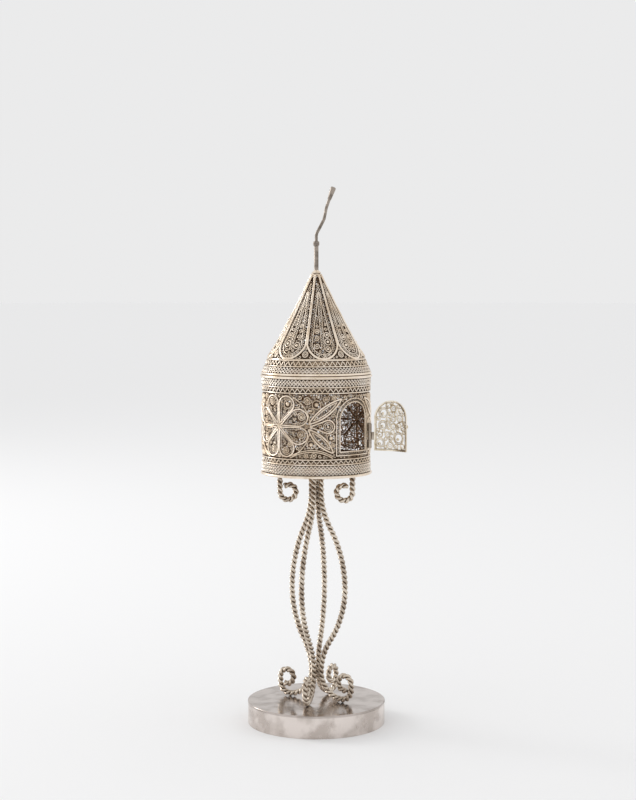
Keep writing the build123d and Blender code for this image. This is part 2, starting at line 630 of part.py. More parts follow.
with BuildPart() as roof_shell:
    with BuildSketch(Plane.XZ):
        with BuildLine():
            Polyline(
                inset(skirt_low, SHELL_INSET),
                inset(skirt_high, SHELL_INSET),
                inset(zigzag_high, SHELL_INSET),
                inset(cone_low, SHELL_INSET),
            )
            ThreePointArc(
                inset(cone_low, SHELL_INSET),
                inset(cone_mid, SHELL_INSET),
                inset(cone_high, SHELL_INSET),
            )
            Line(inset(cone_high, SHELL_INSET), inset(cone_high, SHELL_INSET + ROOF_WALL))
            ThreePointArc(
                inset(cone_high, SHELL_INSET + ROOF_WALL),
                inset(cone_mid, SHELL_INSET + ROOF_WALL),
                inset(cone_low, SHELL_INSET + ROOF_WALL),
            )
            Polyline(
                inset(cone_low, SHELL_INSET + ROOF_WALL),
                inset(zigzag_high, SHELL_INSET + ROOF_WALL),
                inset(skirt_high, SHELL_INSET + ROOF_WALL),
                inset(skirt_low, SHELL_INSET + ROOF_WALL),
                inset(skirt_low, SHELL_INSET),
            )
        make_face()
    revolve(axis=Axis.Z)
    for petal in range(PETAL_COUNT):
        with BuildSketch(facing(PETAL_TURN + petal * 360 / PETAL_COUNT)):
            add(petal_face())
            offset(amount=-PETAL_WIRE - ROOF_BAR, mode=Mode.REPLACE)
            with Locations((0, cone_middle)):
                Rectangle(ROOF_BAR, CONE_HEIGHT, mode=Mode.SUBTRACT)
                with GridLocations(0, CONE_HEIGHT / ROOF_OPENING_ROWS, 1, ROOF_OPENING_ROWS - 1):
                    Rectangle(DRUM_DIAMETER, ROOF_BAR, mode=Mode.SUBTRACT)
        extrude(amount=DRUM_RADIUS, mode=Mode.SUBTRACT)
export(roof_shell, "roof_shell")

round_ring("roof_edge_wire", DRUM_RADIUS - ROOF_EDGE_WIRE / 2, ROOF_Z, ROOF_EDGE_WIRE)
half_wire = RING_WIRE / 2
sloping_band(
    "roof_ribbed_band",
    skirt_low,
    along(skirt_low, skirt_high, skirt_high[1] - half_wire),
    BAND_DEPTH,
)
sloping_band(
    "roof_zigzag",
    along(skirt_high, zigzag_high, skirt_high[1] + half_wire),
    along(skirt_high, zigzag_high, zigzag_high[1] - half_wire),
    ZIGZAG_DEPTH,
)
wire_inset = PETAL_DEPTH - half_wire
round_ring("skirt_ring_wire", skirt_high[0] - wire_inset, skirt_high[1] - half_wire, RING_WIRE)
round_ring("cone_ring_wire", zigzag_high[0] - wire_inset, zigzag_high[1] - half_wire, RING_WIRE)

# Roof petals: each a frame bent to the cone, pointed above and round below
for petal in range(PETAL_COUNT):
    with BuildPart() as roof_petal:
        with BuildSketch(facing(PETAL_TURN + petal * 360 / PETAL_COUNT)):
            add(petal_face())
            offset(amount=-PETAL_WIRE, mode=Mode.SUBTRACT)
        extrude(amount=DRUM_RADIUS)
        with BuildSketch(Plane.XZ):
            with BuildLine():
                ThreePointArc(
                    inset(cone_low, PETAL_DEPTH), inset(cone_mid, PETAL_DEPTH), inset(cone_high, PETAL_DEPTH)
                )
                Line(inset(cone_high, PETAL_DEPTH), cone_high)
                ThreePointArc(cone_high, cone_mid, cone_low)
                Line(cone_low, inset(cone_low, PETAL_DEPTH))
            make_face()
        revolve(axis=Axis.Z, mode=Mode.INTERSECT)
    export(roof_petal, "roof_petal_" + str(petal + 1))

# Eyelets between the feet of the petals
eyelet_z = CONE_FOOT + EYELET_RISE
eyelet_reach = cone_radius(eyelet_z) - EYELET_INSET
eyelet_slope = atan((CONE_FOOT_RADIUS - CONE_TOP_RADIUS) / CONE_HEIGHT)
with BuildPart() as roof_eyelets:
    for petal in range(PETAL_COUNT):
        turn = radians(PETAL_TURN + (petal + 0.5) * 360 / PETAL_COUNT)
        seat = Plane(
            origin=(eyelet_reach * sin(turn), -eyelet_reach * cos(turn), eyelet_z),
            x_dir=(cos(turn), sin(turn), 0),
            z_dir=(sin(turn) * cos(eyelet_slope), -cos(turn) * cos(eyelet_slope), sin(eyelet_slope)),
        )
        with BuildSketch(seat):
            Circle(EYELET_RADIUS)
            Circle(EYELET_RADIUS - EYELET_WIRE, mode=Mode.SUBTRACT)
    extrude(amount=EYELET_WIRE)
export(roof_eyelets, "roof_eyelets")

# Finial
with BuildPart() as apex_cap:
    with Locations((0, 0, CONE_TOP + SOLDER_GAP)):
        Cone(CAP_RADIUS, SLEEVE_RADIUS, CAP_HEIGHT, align=(Align.CENTER, Align.CENTER, Align.MIN))
export(apex_cap, "apex_cap")

with BuildPart() as finial_sleeve:
    with Locations((0, 0, SLEEVE_BOTTOM)):
        Cylinder(SLEEVE_RADIUS, SLEEVE_LENGTH, align=(Align.CENTER, Align.CENTER, Align.MIN))
export(finial_sleeve, "finial_sleeve")

with BuildPart() as finial_collar:
    with Locations((0, 0, SLEEVE_TOP + SOLDER_GAP)):
        Cylinder(COLLAR_RADIUS, COLLAR_HEIGHT, align=(Align.CENTER, Align.CENTER, Align.MIN))
    fillet(finial_collar.edges(), COLLAR_HEIGHT * 0.3)
    Cylinder(FINIAL_WIRE_RADIUS + SOLDER_GAP, 4 * SLEEVE_TOP, mode=Mode.SUBTRACT)
export(finial_collar, "finial_collar")

with BuildPart() as finial_wire:
    with BuildLine(facing(FINIAL_LEAN_BEARING, SLEEVE_TOP)) as lean:
        FilletPolyline((0, SOLDER_GAP), *FINIAL_PATH, radius=FINIAL_BEND_RADIUS)
    with BuildSketch(Plane.XY.offset(SLEEVE_TOP + SOLDER_GAP)):
        Circle(FINIAL_WIRE_RADIUS)
    sweep()
export(finial_wire, "finial_wire")

tip_plane = Plane(origin=lean.line @ 1, z_dir=lean.line % 1).offset(SOLDER_GAP)
with BuildPart() as finial_tip:
    with Locations(tip_plane):
        Cone(TIP_FOOT_RADIUS, TIP_RADIUS, TIP_LENGTH, align=(Align.CENTER, Align.CENTER, Align.MIN))
    fillet(finial_tip.edges().filter_by(GeomType.CIRCLE).sort_by(SortBy.RADIUS)[-1], TIP_RADIUS * 0.6)
export(finial_tip, "finial_tip")
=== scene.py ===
import logging
import math
import random
from dataclasses import dataclass, field, replace
from enum import Enum

import bpy
import numpy as np
from mathutils import Matrix, Vector, kdtree


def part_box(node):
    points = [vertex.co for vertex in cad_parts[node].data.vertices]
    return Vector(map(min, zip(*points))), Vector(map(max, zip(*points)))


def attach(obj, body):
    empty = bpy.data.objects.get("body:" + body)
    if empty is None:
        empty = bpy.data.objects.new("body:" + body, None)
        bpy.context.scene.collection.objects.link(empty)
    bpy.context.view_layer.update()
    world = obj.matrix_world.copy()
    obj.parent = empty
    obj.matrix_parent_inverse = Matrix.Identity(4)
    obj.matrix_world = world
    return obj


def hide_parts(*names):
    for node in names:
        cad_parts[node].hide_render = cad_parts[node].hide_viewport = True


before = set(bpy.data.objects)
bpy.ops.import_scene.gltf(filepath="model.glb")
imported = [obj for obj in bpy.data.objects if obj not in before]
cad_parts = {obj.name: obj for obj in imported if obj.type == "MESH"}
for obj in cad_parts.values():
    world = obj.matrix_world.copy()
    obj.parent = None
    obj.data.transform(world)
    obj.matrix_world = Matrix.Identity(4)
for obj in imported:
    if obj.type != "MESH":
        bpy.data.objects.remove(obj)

# A filigree spice tower. Sizes are in millimetres; the little door faces -Y and +Z is up.
# Bearings are degrees from the middle of the doorway, counted to the right as seen from outside.
# A flat pattern gives the distance to the right and the level of each of its points.

Point = tuple[float, float]
Colour = tuple[float, float, float]
Round = tuple[float, float, float]
Track = tuple[np.ndarray, np.ndarray]
Feed = bpy.types.NodeSocket | float | tuple[float, ...]

MM = 0.001
FULL_TURN = 2 * math.pi
DRUM_RADIUS = 17.45
WIRE_STEP = 0.3
log = logging.getLogger("spice_tower")


class Cell(Enum):
    """What a round cell of wirework is filled with."""

    SPIRAL = "spiral"
    RING_AND_GRAIN = "ring_and_grain"
    OPEN_RING = "open_ring"


class Carrier(Enum):
    """The moving bodies of the tower."""

    TOWER = "tower"
    DOOR = "door"


class Ease(Enum):
    """How a value changes between two levels."""

    SMOOTH = "SMOOTHSTEP"
    EVEN = "LINEAR"


def node_span(node: str) -> Point:
    """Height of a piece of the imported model.

    Args:
        node: Name of the piece.

    Returns:
        Its lowest and highest level.
    """
    low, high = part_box(node)
    return low[2] / MM, high[2] / MM


def arc(centre: Point, radius: float, start: float, end: float, step: float = 0.25) -> np.ndarray:
    """Points along a circular arc.

    Args:
        centre: Middle of the circle.
        radius: Radius of the circle.
        start: First angle in radians.
        end: Last angle in radians.
        step: Longest distance between two points.

    Returns:
        Array of points, one row each.
    """
    count = max(4, int(math.ceil(abs(end - start) * radius / step)) + 1)
    turn = np.linspace(start, end, count)
    return np.column_stack((centre[0] + radius * np.cos(turn), centre[1] + radius * np.sin(turn)))


def circle(radius: float, centre: Point = (0.0, 0.0), step: float = 0.25) -> np.ndarray:
    """Points round a whole circle, the first not repeated."""
    return arc(centre, radius, 0.0, FULL_TURN, step)[:-1]


def arc_through(first: Point, middle: Point, last: Point) -> np.ndarray:
    """Points along the arc through three points.

    Args:
        first: Start of the arc.
        middle: A point that the arc passes.
        last: End of the arc.

    Returns:
        Array of points from first to last.
    """
    (ax, ay), (bx, by), (cx, cy) = first, middle, last
    area = 2 * (ax * (by - cy) + bx * (cy - ay) + cx * (ay - by))
    a2, b2, c2 = ax * ax + ay * ay, bx * bx + by * by, cx * cx + cy * cy
    x = (a2 * (by - cy) + b2 * (cy - ay) + c2 * (ay - by)) / area
    y = (a2 * (cx - bx) + b2 * (ax - cx) + c2 * (bx - ax)) / area
    start = math.atan2(ay - y, ax - x)
    through = (math.atan2(by - y, bx - x) - start) % FULL_TURN
    sweep = (math.atan2(cy - y, cx - x) - start) % FULL_TURN
    if through > sweep:
        sweep -= FULL_TURN
    return arc((x, y), math.hypot(ax - x, ay - y), start, start + sweep)


def run_lengths(path: np.ndarray) -> np.ndarray:
    """Distance from the start of a path to each of its points."""
    return np.concatenate(([0.0], np.cumsum(np.linalg.norm(np.diff(path, axis=0), axis=1))))


def spaced(path: np.ndarray, step: float, closed: bool = False) -> np.ndarray:
    """A path with its points set at even distances.

    Args:
        path: Points of the path.
        step: Wanted distance between points.
        closed: Whether the last point joins the first.

    Returns:
        The same path with even spacing.
    """
    if closed:
        path = np.vstack((path, path[:1]))
    run = run_lengths(path)
    count = max(3, int(round(run[-1] / step)))
    stops = np.linspace(0.0, run[-1], count + 1)
    if closed:
        stops = stops[:-1]
    return np.column_stack([np.interp(stops, run, path[:, axis]) for axis in range(path.shape[1])])


def unit(rows: np.ndarray) -> np.ndarray:
    """Directions brought to length 1."""
    return rows / np.maximum(np.linalg.norm(rows, axis=1, keepdims=True), 1e-9)


def headings(path: np.ndarray, closed: bool = False) -> np.ndarray:
    """Unit directions along a path.

    Args:
        path: Points of the path.
        closed: Whether the last point joins the first.

    Returns:
        One direction for each point.
    """
    if closed:
        return unit(np.roll(path, -1, axis=0) - np.roll(path, 1, axis=0))
    return unit(np.gradient(path, axis=0))


def sideways(path: np.ndarray, closed: bool = False) -> np.ndarray:
    """Unit directions to the left of a flat path."""
    run = headings(path, closed)
    return np.column_stack((-run[:, 1], run[:, 0]))


def swings(count: int) -> np.ndarray:
    """Sides of a crimped line by turns: 1 and -1."""
    return np.where(np.arange(count) % 2 == 0, 1.0, -1.0)


def zigzag(path: np.ndarray, reach: float, period: float, closed: bool = False) -> np.ndarray:
    """A crimped line that swings to both sides of a path.

    Args:
        path: Points of the path.
        reach: How far the line swings to each side.
        period: Length of one full swing.
        closed: Whether the last point joins the first.

    Returns:
        Corner points of the crimped line.
    """
    even = spaced(path, period / 2, closed)
    if closed and len(even) % 2:
        even = spaced(path, period / 2 * len(even) / (len(even) - 1), closed)
    return even + sideways(even, closed) * (reach * swings(len(even)))[:, None]


def distances(places: np.ndarray, walls: np.ndarray) -> np.ndarray:
    """Distance from flat places to the nearest of the points along some wires.

    Args:
        places: Points to measure from.
        walls: Points along the wires.

    Returns:
        One distance for each place.
    """
    tree = kdtree.KDTree(len(walls))
    for index, (x, y) in enumerate(walls):
        tree.insert((x, y, 0.0), index)
    tree.balance()
    return np.array([tree.find((x, y, 0.0))[2] for x, y in places])


def inset(outline: np.ndarray, distance: float) -> np.ndarray:
    """A closed outline drawn again further in.

    Args:
        outline: Points of the outline, counter-clockwise.
        distance: How far in.

    Returns:
        Points of the smaller outline.
    """
    dense = spaced(outline, 0.12, True)
    moved = dense + sideways(dense, True) * distance
    return moved[distances(moved, dense) > distance * 0.94]


def spiral(radius: float, pitch: float, start: float, hand: float) -> np.ndarray:
    """A wire coiled flat from its rim to its middle.

    Args:
        radius: Outer radius.
        pitch: Distance between turns.
        start: Angle of the outer end in radians.
        hand: 1 or -1 for the direction of the coil.

    Returns:
        Points of the coil.
    """
    turns = max(1.0, (radius - 0.1) / pitch)
    count = max(10, int(turns * 12))
    share = np.linspace(0.0, 1.0, count)
    reach = radius + (0.12 - radius) * share
    turn = start + hand * FULL_TURN * turns * share
    return np.column_stack((reach * np.cos(turn), reach * np.sin(turn)))


def packed_rounds(
    places: np.ndarray, walls: np.ndarray, sizes: Point, clearance: float, limit: int
) -> list[Round]:
    """Round cells that fill the free places between wires, the largest first.

    Args:
        places: Points where a cell may have its middle.
        walls: Points along the wires that cells keep clear of.
        sizes: Smallest and largest radius of a cell.
        clearance: Distance kept to the middle of the wires.
        limit: Largest number of cells.

    Returns:
        Middle and radius of each cell.
    """
    smallest, largest = sizes
    room = distances(places, walls) - clearance
    cells = []
    for _ in range(limit):
        best = int(np.argmax(np.minimum(room, largest)))
        radius = min(room[best], largest)
        if radius < smallest:
            break
        x, y = places[best]
        cells.append((float(x), float(y), float(radius)))
        away = np.hypot(places[:, 0] - x, places[:, 1] - y) - radius
        room = np.minimum(room, away - 0.04)
    return cells


def fence(start: float, end: float, low: float, high: float) -> np.ndarray:
    """Points round the edge of a ground that is given by bearing and level.

    Args:
        start: First bearing.
        end: Last bearing.
        low: Lowest level.
        high: Highest level.

    Returns:
        Bearing and level of each point.
    """
    edge = np.arange(start, end, 0.8)
    upright = np.arange(low, high, 0.3)
    rows = [np.column_stack((edge, np.full(len(edge), level))) for level in (low, high)]
    rows += [np.column_stack((np.full(len(upright), bearing), upright)) for bearing in (start, end)]
    return np.vstack(rows)


def feed(tree: bpy.types.NodeTree, node: bpy.types.Node, inputs: dict[str | int, Feed]) -> None:
    """Give the inputs of a shader node their values or sources.

    Args:
        tree: Nodes of the material or of the surroundings.
        node: Node to feed.
        inputs: Value or source of each input.
    """
    for name, value in inputs.items():
        if isinstance(value, bpy.types.NodeSocket):
            tree.links.new(value, node.inputs[name])
        else:
            node.inputs[name].default_value = value


def add_node(
    tree: bpy.types.NodeTree, kind: str, inputs: dict[str | int, Feed], **settings: str | int
) -> bpy.types.Node:
    """Add a shader node and feed it.

    Args:
        tree: Nodes of the material or of the surroundings.
        kind: Kind of node.
        inputs: Value or source of each input.
        **settings: Other settings of the node.

    Returns:
        The new node.
    """
    node = tree.nodes.new("ShaderNode" + kind)
    for name, value in settings.items():
        setattr(node, name, value)
    feed(tree, node, inputs)
    return node


def noise(
    tree: bpy.types.NodeTree, place: bpy.types.NodeSocket, scale: float, detail: float
) -> bpy.types.NodeSocket:
    """Cloud pattern of a given fineness."""
    return add_node(tree, "TexNoise", {"Vector": place, "Scale": scale, "Detail": detail}).outputs["Fac"]


def ramp(
    tree: bpy.types.NodeTree,
    value: bpy.types.NodeSocket,
    span: Point,
    levels: Point = (0.0, 1.0),
    ease: Ease = Ease.SMOOTH,
) -> bpy.types.NodeSocket:
    """A value that goes from one level to another over a span of its source.

    Args:
        tree: Nodes of the material or of the surroundings.
        value: Source of the value.
        span: Where the change starts and ends.
        levels: Levels before and after the change.
        ease: How the value changes in between.

    Returns:
        The changed value.
    """
    names = ("From Min", "From Max", "To Min", "To Max")
    inputs = {"Value": value, **dict(zip(names, (*span, *levels)))}
    return add_node(tree, "MapRange", inputs, interpolation_type=ease.value).outputs["Result"]


def blend(
    tree: bpy.types.NodeTree, share: bpy.types.NodeSocket, first: Feed, second: Colour
) -> bpy.types.NodeSocket:
    """Two colours mixed by a share."""
    inputs = {"Factor": share, "A": first, "B": (*second, 1.0)}
    return add_node(tree, "Mix", inputs, data_type="RGBA").outputs["Result"]


def bump(
    tree: bpy.types.NodeTree,
    height: bpy.types.NodeSocket,
    strength: float,
    depth: float,
    normal: bpy.types.NodeSocket | None = None,
) -> bpy.types.NodeSocket:
    """Relief of a surface.

    Args:
        tree: Nodes of the material.
        height: Pattern of the relief.
        strength: How strongly it shows.
        depth: Depth of the relief.
        normal: Relief that this one is laid over.

    Returns:
        Surface direction with the relief.
    """
    inputs = {"Height": height, "Strength": strength, "Distance": depth * MM}
    if normal is not None:
        inputs["Normal"] = normal
    return add_node(tree, "Bump", inputs).outputs["Normal"]


@dataclass(frozen=True)
class SilverFinish:
    """Silver with a bright skin, cloudy patches, and tarnish with painted shade in its hollows; some
    finishes also paint the shading of faces turned towards the axis.
    """

    name: str
    bright: Colour
    cloudy: Colour
    tarnish_and_shade: Colour
    smooth: float
    rough: float
    # Reach of the ambient occlusion that lays tarnish and painted shade in hollows.
    hollow: float = 0.8
    patch: float = 5.0
    grain: float = 0.05
    scratches: float = 0.0
    dents: float = 0.0
    # Painted interior shading: colour of faces turned towards the axis, set for how dimly the inside is lit.
    inside: Colour | None = None

    def material(self) -> bpy.types.Material:
        """Build the node material of this finish.

        Returns:
            The material, made once and then shared.
        """
        if self.name in bpy.data.materials:
            return bpy.data.materials[self.name]
        material = bpy.data.materials.new(self.name)
        material.use_nodes = True
        tree = material.node_tree
        place = tree.nodes.new("ShaderNodeTexCoord").outputs["Object"]
        clouds = noise(tree, place, 1.0 / (self.patch * MM), 4.0)
        colour = blend(tree, ramp(tree, clouds, (0.38, 0.66)), (*self.bright, 1.0), self.cloudy)
        # Part real tarnish, part painted shade: the colour darkens towards the tarnish colour where ambient
        # occlusion finds hollows.
        hollow = add_node(tree, "AmbientOcclusion", {"Distance": self.hollow * MM}, samples=8)
        colour = blend(tree, ramp(tree, hollow.outputs["AO"], (0.66, 0.22)), colour, self.tarnish_and_shade)
        # Painted interior shading on the faces turned towards the axis.
        if self.inside:
            colour = blend(tree, self._painted_inner_shading_mask(tree, place), colour, self.inside)
        skin = {
            "Metallic": 1.0,
            "Base Color": colour,
            "Roughness": ramp(tree, clouds, (0.3, 0.7), (self.smooth, self.rough), Ease.EVEN),
            "Normal": self._relief(tree, place),
        }
        feed(tree, tree.nodes["Principled BSDF"], skin)
        return material

    def _painted_inner_shading_mask(self, tree: bpy.types.NodeTree, place: bpy.types.NodeSocket) -> bpy.types.NodeSocket:
        """Find the faces that are turned towards the axis, where the inside colour paints the shading of the
        dim interior.

        Args:
            tree: Nodes of the material.
            place: Place on the object.

        Returns:
            Share that is 1 on faces turned towards the axis and 0 on outer faces.
        """
        flat = add_node(tree, "VectorMath", {0: place, 1: (1.0, 1.0, 0.0)}, operation="MULTIPLY")
        outward = add_node(tree, "VectorMath", {0: flat.outputs["Vector"]}, operation="NORMALIZE")
        normal = tree.nodes.new("ShaderNodeNewGeometry").outputs["Normal"]
        both = {0: outward.outputs["Vector"], 1: normal}
        facing = add_node(tree, "VectorMath", both, operation="DOT_PRODUCT")
        return ramp(tree, facing.outputs["Value"], (0.05, -0.55))

    def _relief(self, tree: bpy.types.NodeTree, place: bpy.types.NodeSocket) -> bpy.types.NodeSocket:
        """Small unevenness of the metal: grain, scratches and shallow dents.

        Args:
            tree: Nodes of the material.
            place: Place on the object.

        Returns:
            Surface direction with the unevenness.
        """
        normal = bump(tree, noise(tree, place, 1400.0, 3.0), 0.35, self.grain)
        if self.scratches:
            lengthways = {"Vector": place, "Rotation": (0.2, 0.1, 0.7), "Scale": (90.0, 2600.0, 700.0)}
            stretch = add_node(tree, "Mapping", lengthways).outputs["Vector"]
            normal = bump(tree, noise(tree, stretch, 1.0, 2.0), 0.5, self.scratches, normal)
        if self.dents:
            normal = bump(tree, noise(tree, place, 95.0, 1.5), 1.0, self.dents, normal)
        return normal


# Third colour of each finish: tarnish with painted shade in hollows.
FILIGREE = SilverFinish(
    "filigree_silver", (0.91, 0.77, 0.61), (0.66, 0.52, 0.38), (0.075, 0.043, 0.024),
    smooth=0.22, rough=0.42, inside=(0.72, 0.48, 0.31),
)
# Painted shade: the dark net behind the openwork stands in for the shade between the wires.
SHADE_NET = SilverFinish(
    "net_painted_shade", (0.22, 0.16, 0.11), (0.12, 0.084, 0.055), (0.06, 0.04, 0.026),
    smooth=0.30, rough=0.50, patch=4.0, inside=(0.66, 0.42, 0.26),
)
FRAMING = SilverFinish(
    "framing_silver", (0.96, 0.84, 0.71), (0.78, 0.64, 0.49), (0.13, 0.077, 0.043),
    smooth=0.16, rough=0.34, inside=(0.62, 0.44, 0.31),
)
ROOFING = SilverFinish(
    "roof_wire_silver", (0.99, 0.87, 0.73), (0.86, 0.71, 0.545), (0.15, 0.09, 0.052),
    smooth=0.16, rough=0.34, hollow=0.9, inside=(0.55, 0.39, 0.27),
)
BANDING = SilverFinish(
    "band_silver", (0.99, 0.90, 0.79), (0.90, 0.78, 0.65), (0.25, 0.165, 0.108),
    smooth=0.14, rough=0.30, hollow=0.6, inside=(0.62, 0.44, 0.31),
)
# Painted shade: a dark colour for the strips behind the zigzag rows and for the drum floor, standing in for
# the shade behind the openwork.
SHADE_BACKING = SilverFinish(
    "backing_painted_shade", (0.50, 0.385, 0.275), (0.32, 0.235, 0.16), (0.09, 0.06, 0.038),
    smooth=0.34, rough=0.55, patch=4.0, grain=0.06, inside=(0.40, 0.28, 0.19),
)
ROPE = SilverFinish(
    "rope_silver", (0.76, 0.67, 0.565), (0.45, 0.37, 0.295), (0.12, 0.083, 0.057),
    smooth=0.16, rough=0.34, hollow=0.6, patch=7.0,
)
# One sheet silver in two copies: the plates darker as painted shade, the rim lighter as painted light.
SHADED_PLATE = SilverFinish(
    "plate_silver_painted_shade", (0.57, 0.508, 0.47), (0.41, 0.36, 0.325), (0.18, 0.14, 0.12),
    smooth=0.12, rough=0.28, hollow=0.5, patch=6.0, grain=0.01, scratches=0.012, dents=0.30,
)
LIT_RIM_SHEET = SilverFinish(
    "rim_sheet_painted_light", (0.80, 0.728, 0.685), (0.56, 0.497, 0.455), (0.18, 0.14, 0.12),
    smooth=0.14, rough=0.32, hollow=0.5, patch=6.0, grain=0.01, scratches=0.012, dents=0.30,
)
DOOR_SILVER = SilverFinish(
    "door_wire_silver", (0.95, 0.87, 0.73), (0.66, 0.55, 0.39), (0.20, 0.13, 0.07),
    smooth=0.14, rough=0.30, hollow=0.7, patch=2.5,
)
HINGE_SILVER = SilverFinish(
    "dull_hinge_silver", (0.56, 0.49, 0.41), (0.36, 0.30, 0.24), (0.07, 0.048, 0.032),
    smooth=0.26, rough=0.44, patch=4.0, grain=0.04,
)
DARK_WIRE = SilverFinish(
    "dark_finial_silver", (0.40, 0.345, 0.295), (0.20, 0.17, 0.142), (0.04, 0.033, 0.027),
    smooth=0.26, rough=0.44, patch=2.5, grain=0.12,
)


def dress(node: str, finish: SilverFinish) -> None:
    """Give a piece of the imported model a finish.

    Args:
        node: Name of the piece.
        finish: Finish of the metal.
    """
    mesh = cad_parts[node].data
    mesh.materials.clear()
    mesh.materials.append(finish.material())
    log.info("%s: %s", node, finish.name)


@dataclass(frozen=True)
class Gauge:
    """Section of a wire, half its width and half its depth, and its distance from its surface."""

    across: float | np.ndarray
    deep: float
    lift: float = 0.0
    sides: int = 6


@dataclass(frozen=True)
class TurnedSurface:
    """A surface round the axis whose radius changes with height."""

    heights: tuple[float, ...]
    radii: tuple[float, ...]

    def radius(self, height: np.ndarray | float) -> np.ndarray:
        """Radius at a height."""
        return np.interp(height, self.heights, self.radii)

    def place(self, bearing: np.ndarray, height: np.ndarray, lift: float) -> Track:
        """Points on or above the surface.

        Args:
            bearing: Bearings in degrees.
            height: Levels of the points.
            lift: Distance outward from the surface.

        Returns:
            The points and the outward directions there.
        """
        turn = np.radians(bearing)
        slope = (self.radius(height + 0.2) - self.radius(height - 0.2)) / 0.4
        length = np.sqrt(1 + slope * slope)
        outward = 1 / length
        upward = -slope / length
        normal = np.column_stack((np.sin(turn) * outward, -np.cos(turn) * outward, upward))
        reach = self.radius(height)
        foot = np.column_stack((reach * np.sin(turn), -reach * np.cos(turn), height))
        return foot + normal * lift, normal

    def facing(self, middle: float, flat: np.ndarray) -> Track:
        """Bearings and levels of a pattern that is drawn flat and pressed straight on the surface.

        Args:
            middle: Bearing that the pattern faces.
            flat: Points of the pattern: distance to the right, and level.

        Returns:
            Bearings and levels.
        """
        reach = self.radius(flat[:, 1])
        share = np.clip(flat[:, 0] / reach, -0.999, 0.999)
        return middle + np.degrees(np.arcsin(share)), flat[:, 1]


def ring_faces(here: np.ndarray, ahead: np.ndarray) -> np.ndarray:
    """Four-sided faces between rings of points and the rings that follow them."""
    corners = (here, np.roll(here, -1, axis=1), np.roll(ahead, -1, axis=1), ahead)
    return np.stack(corners, axis=-1).reshape(-1, 4)


def fan_faces(rim: np.ndarray, hub: int) -> np.ndarray:
    """Three-sided faces from a ring of points to one point, which is given twice."""
    last = np.full(len(rim), hub)
    return np.column_stack((rim, np.roll(rim, -1), last, last))


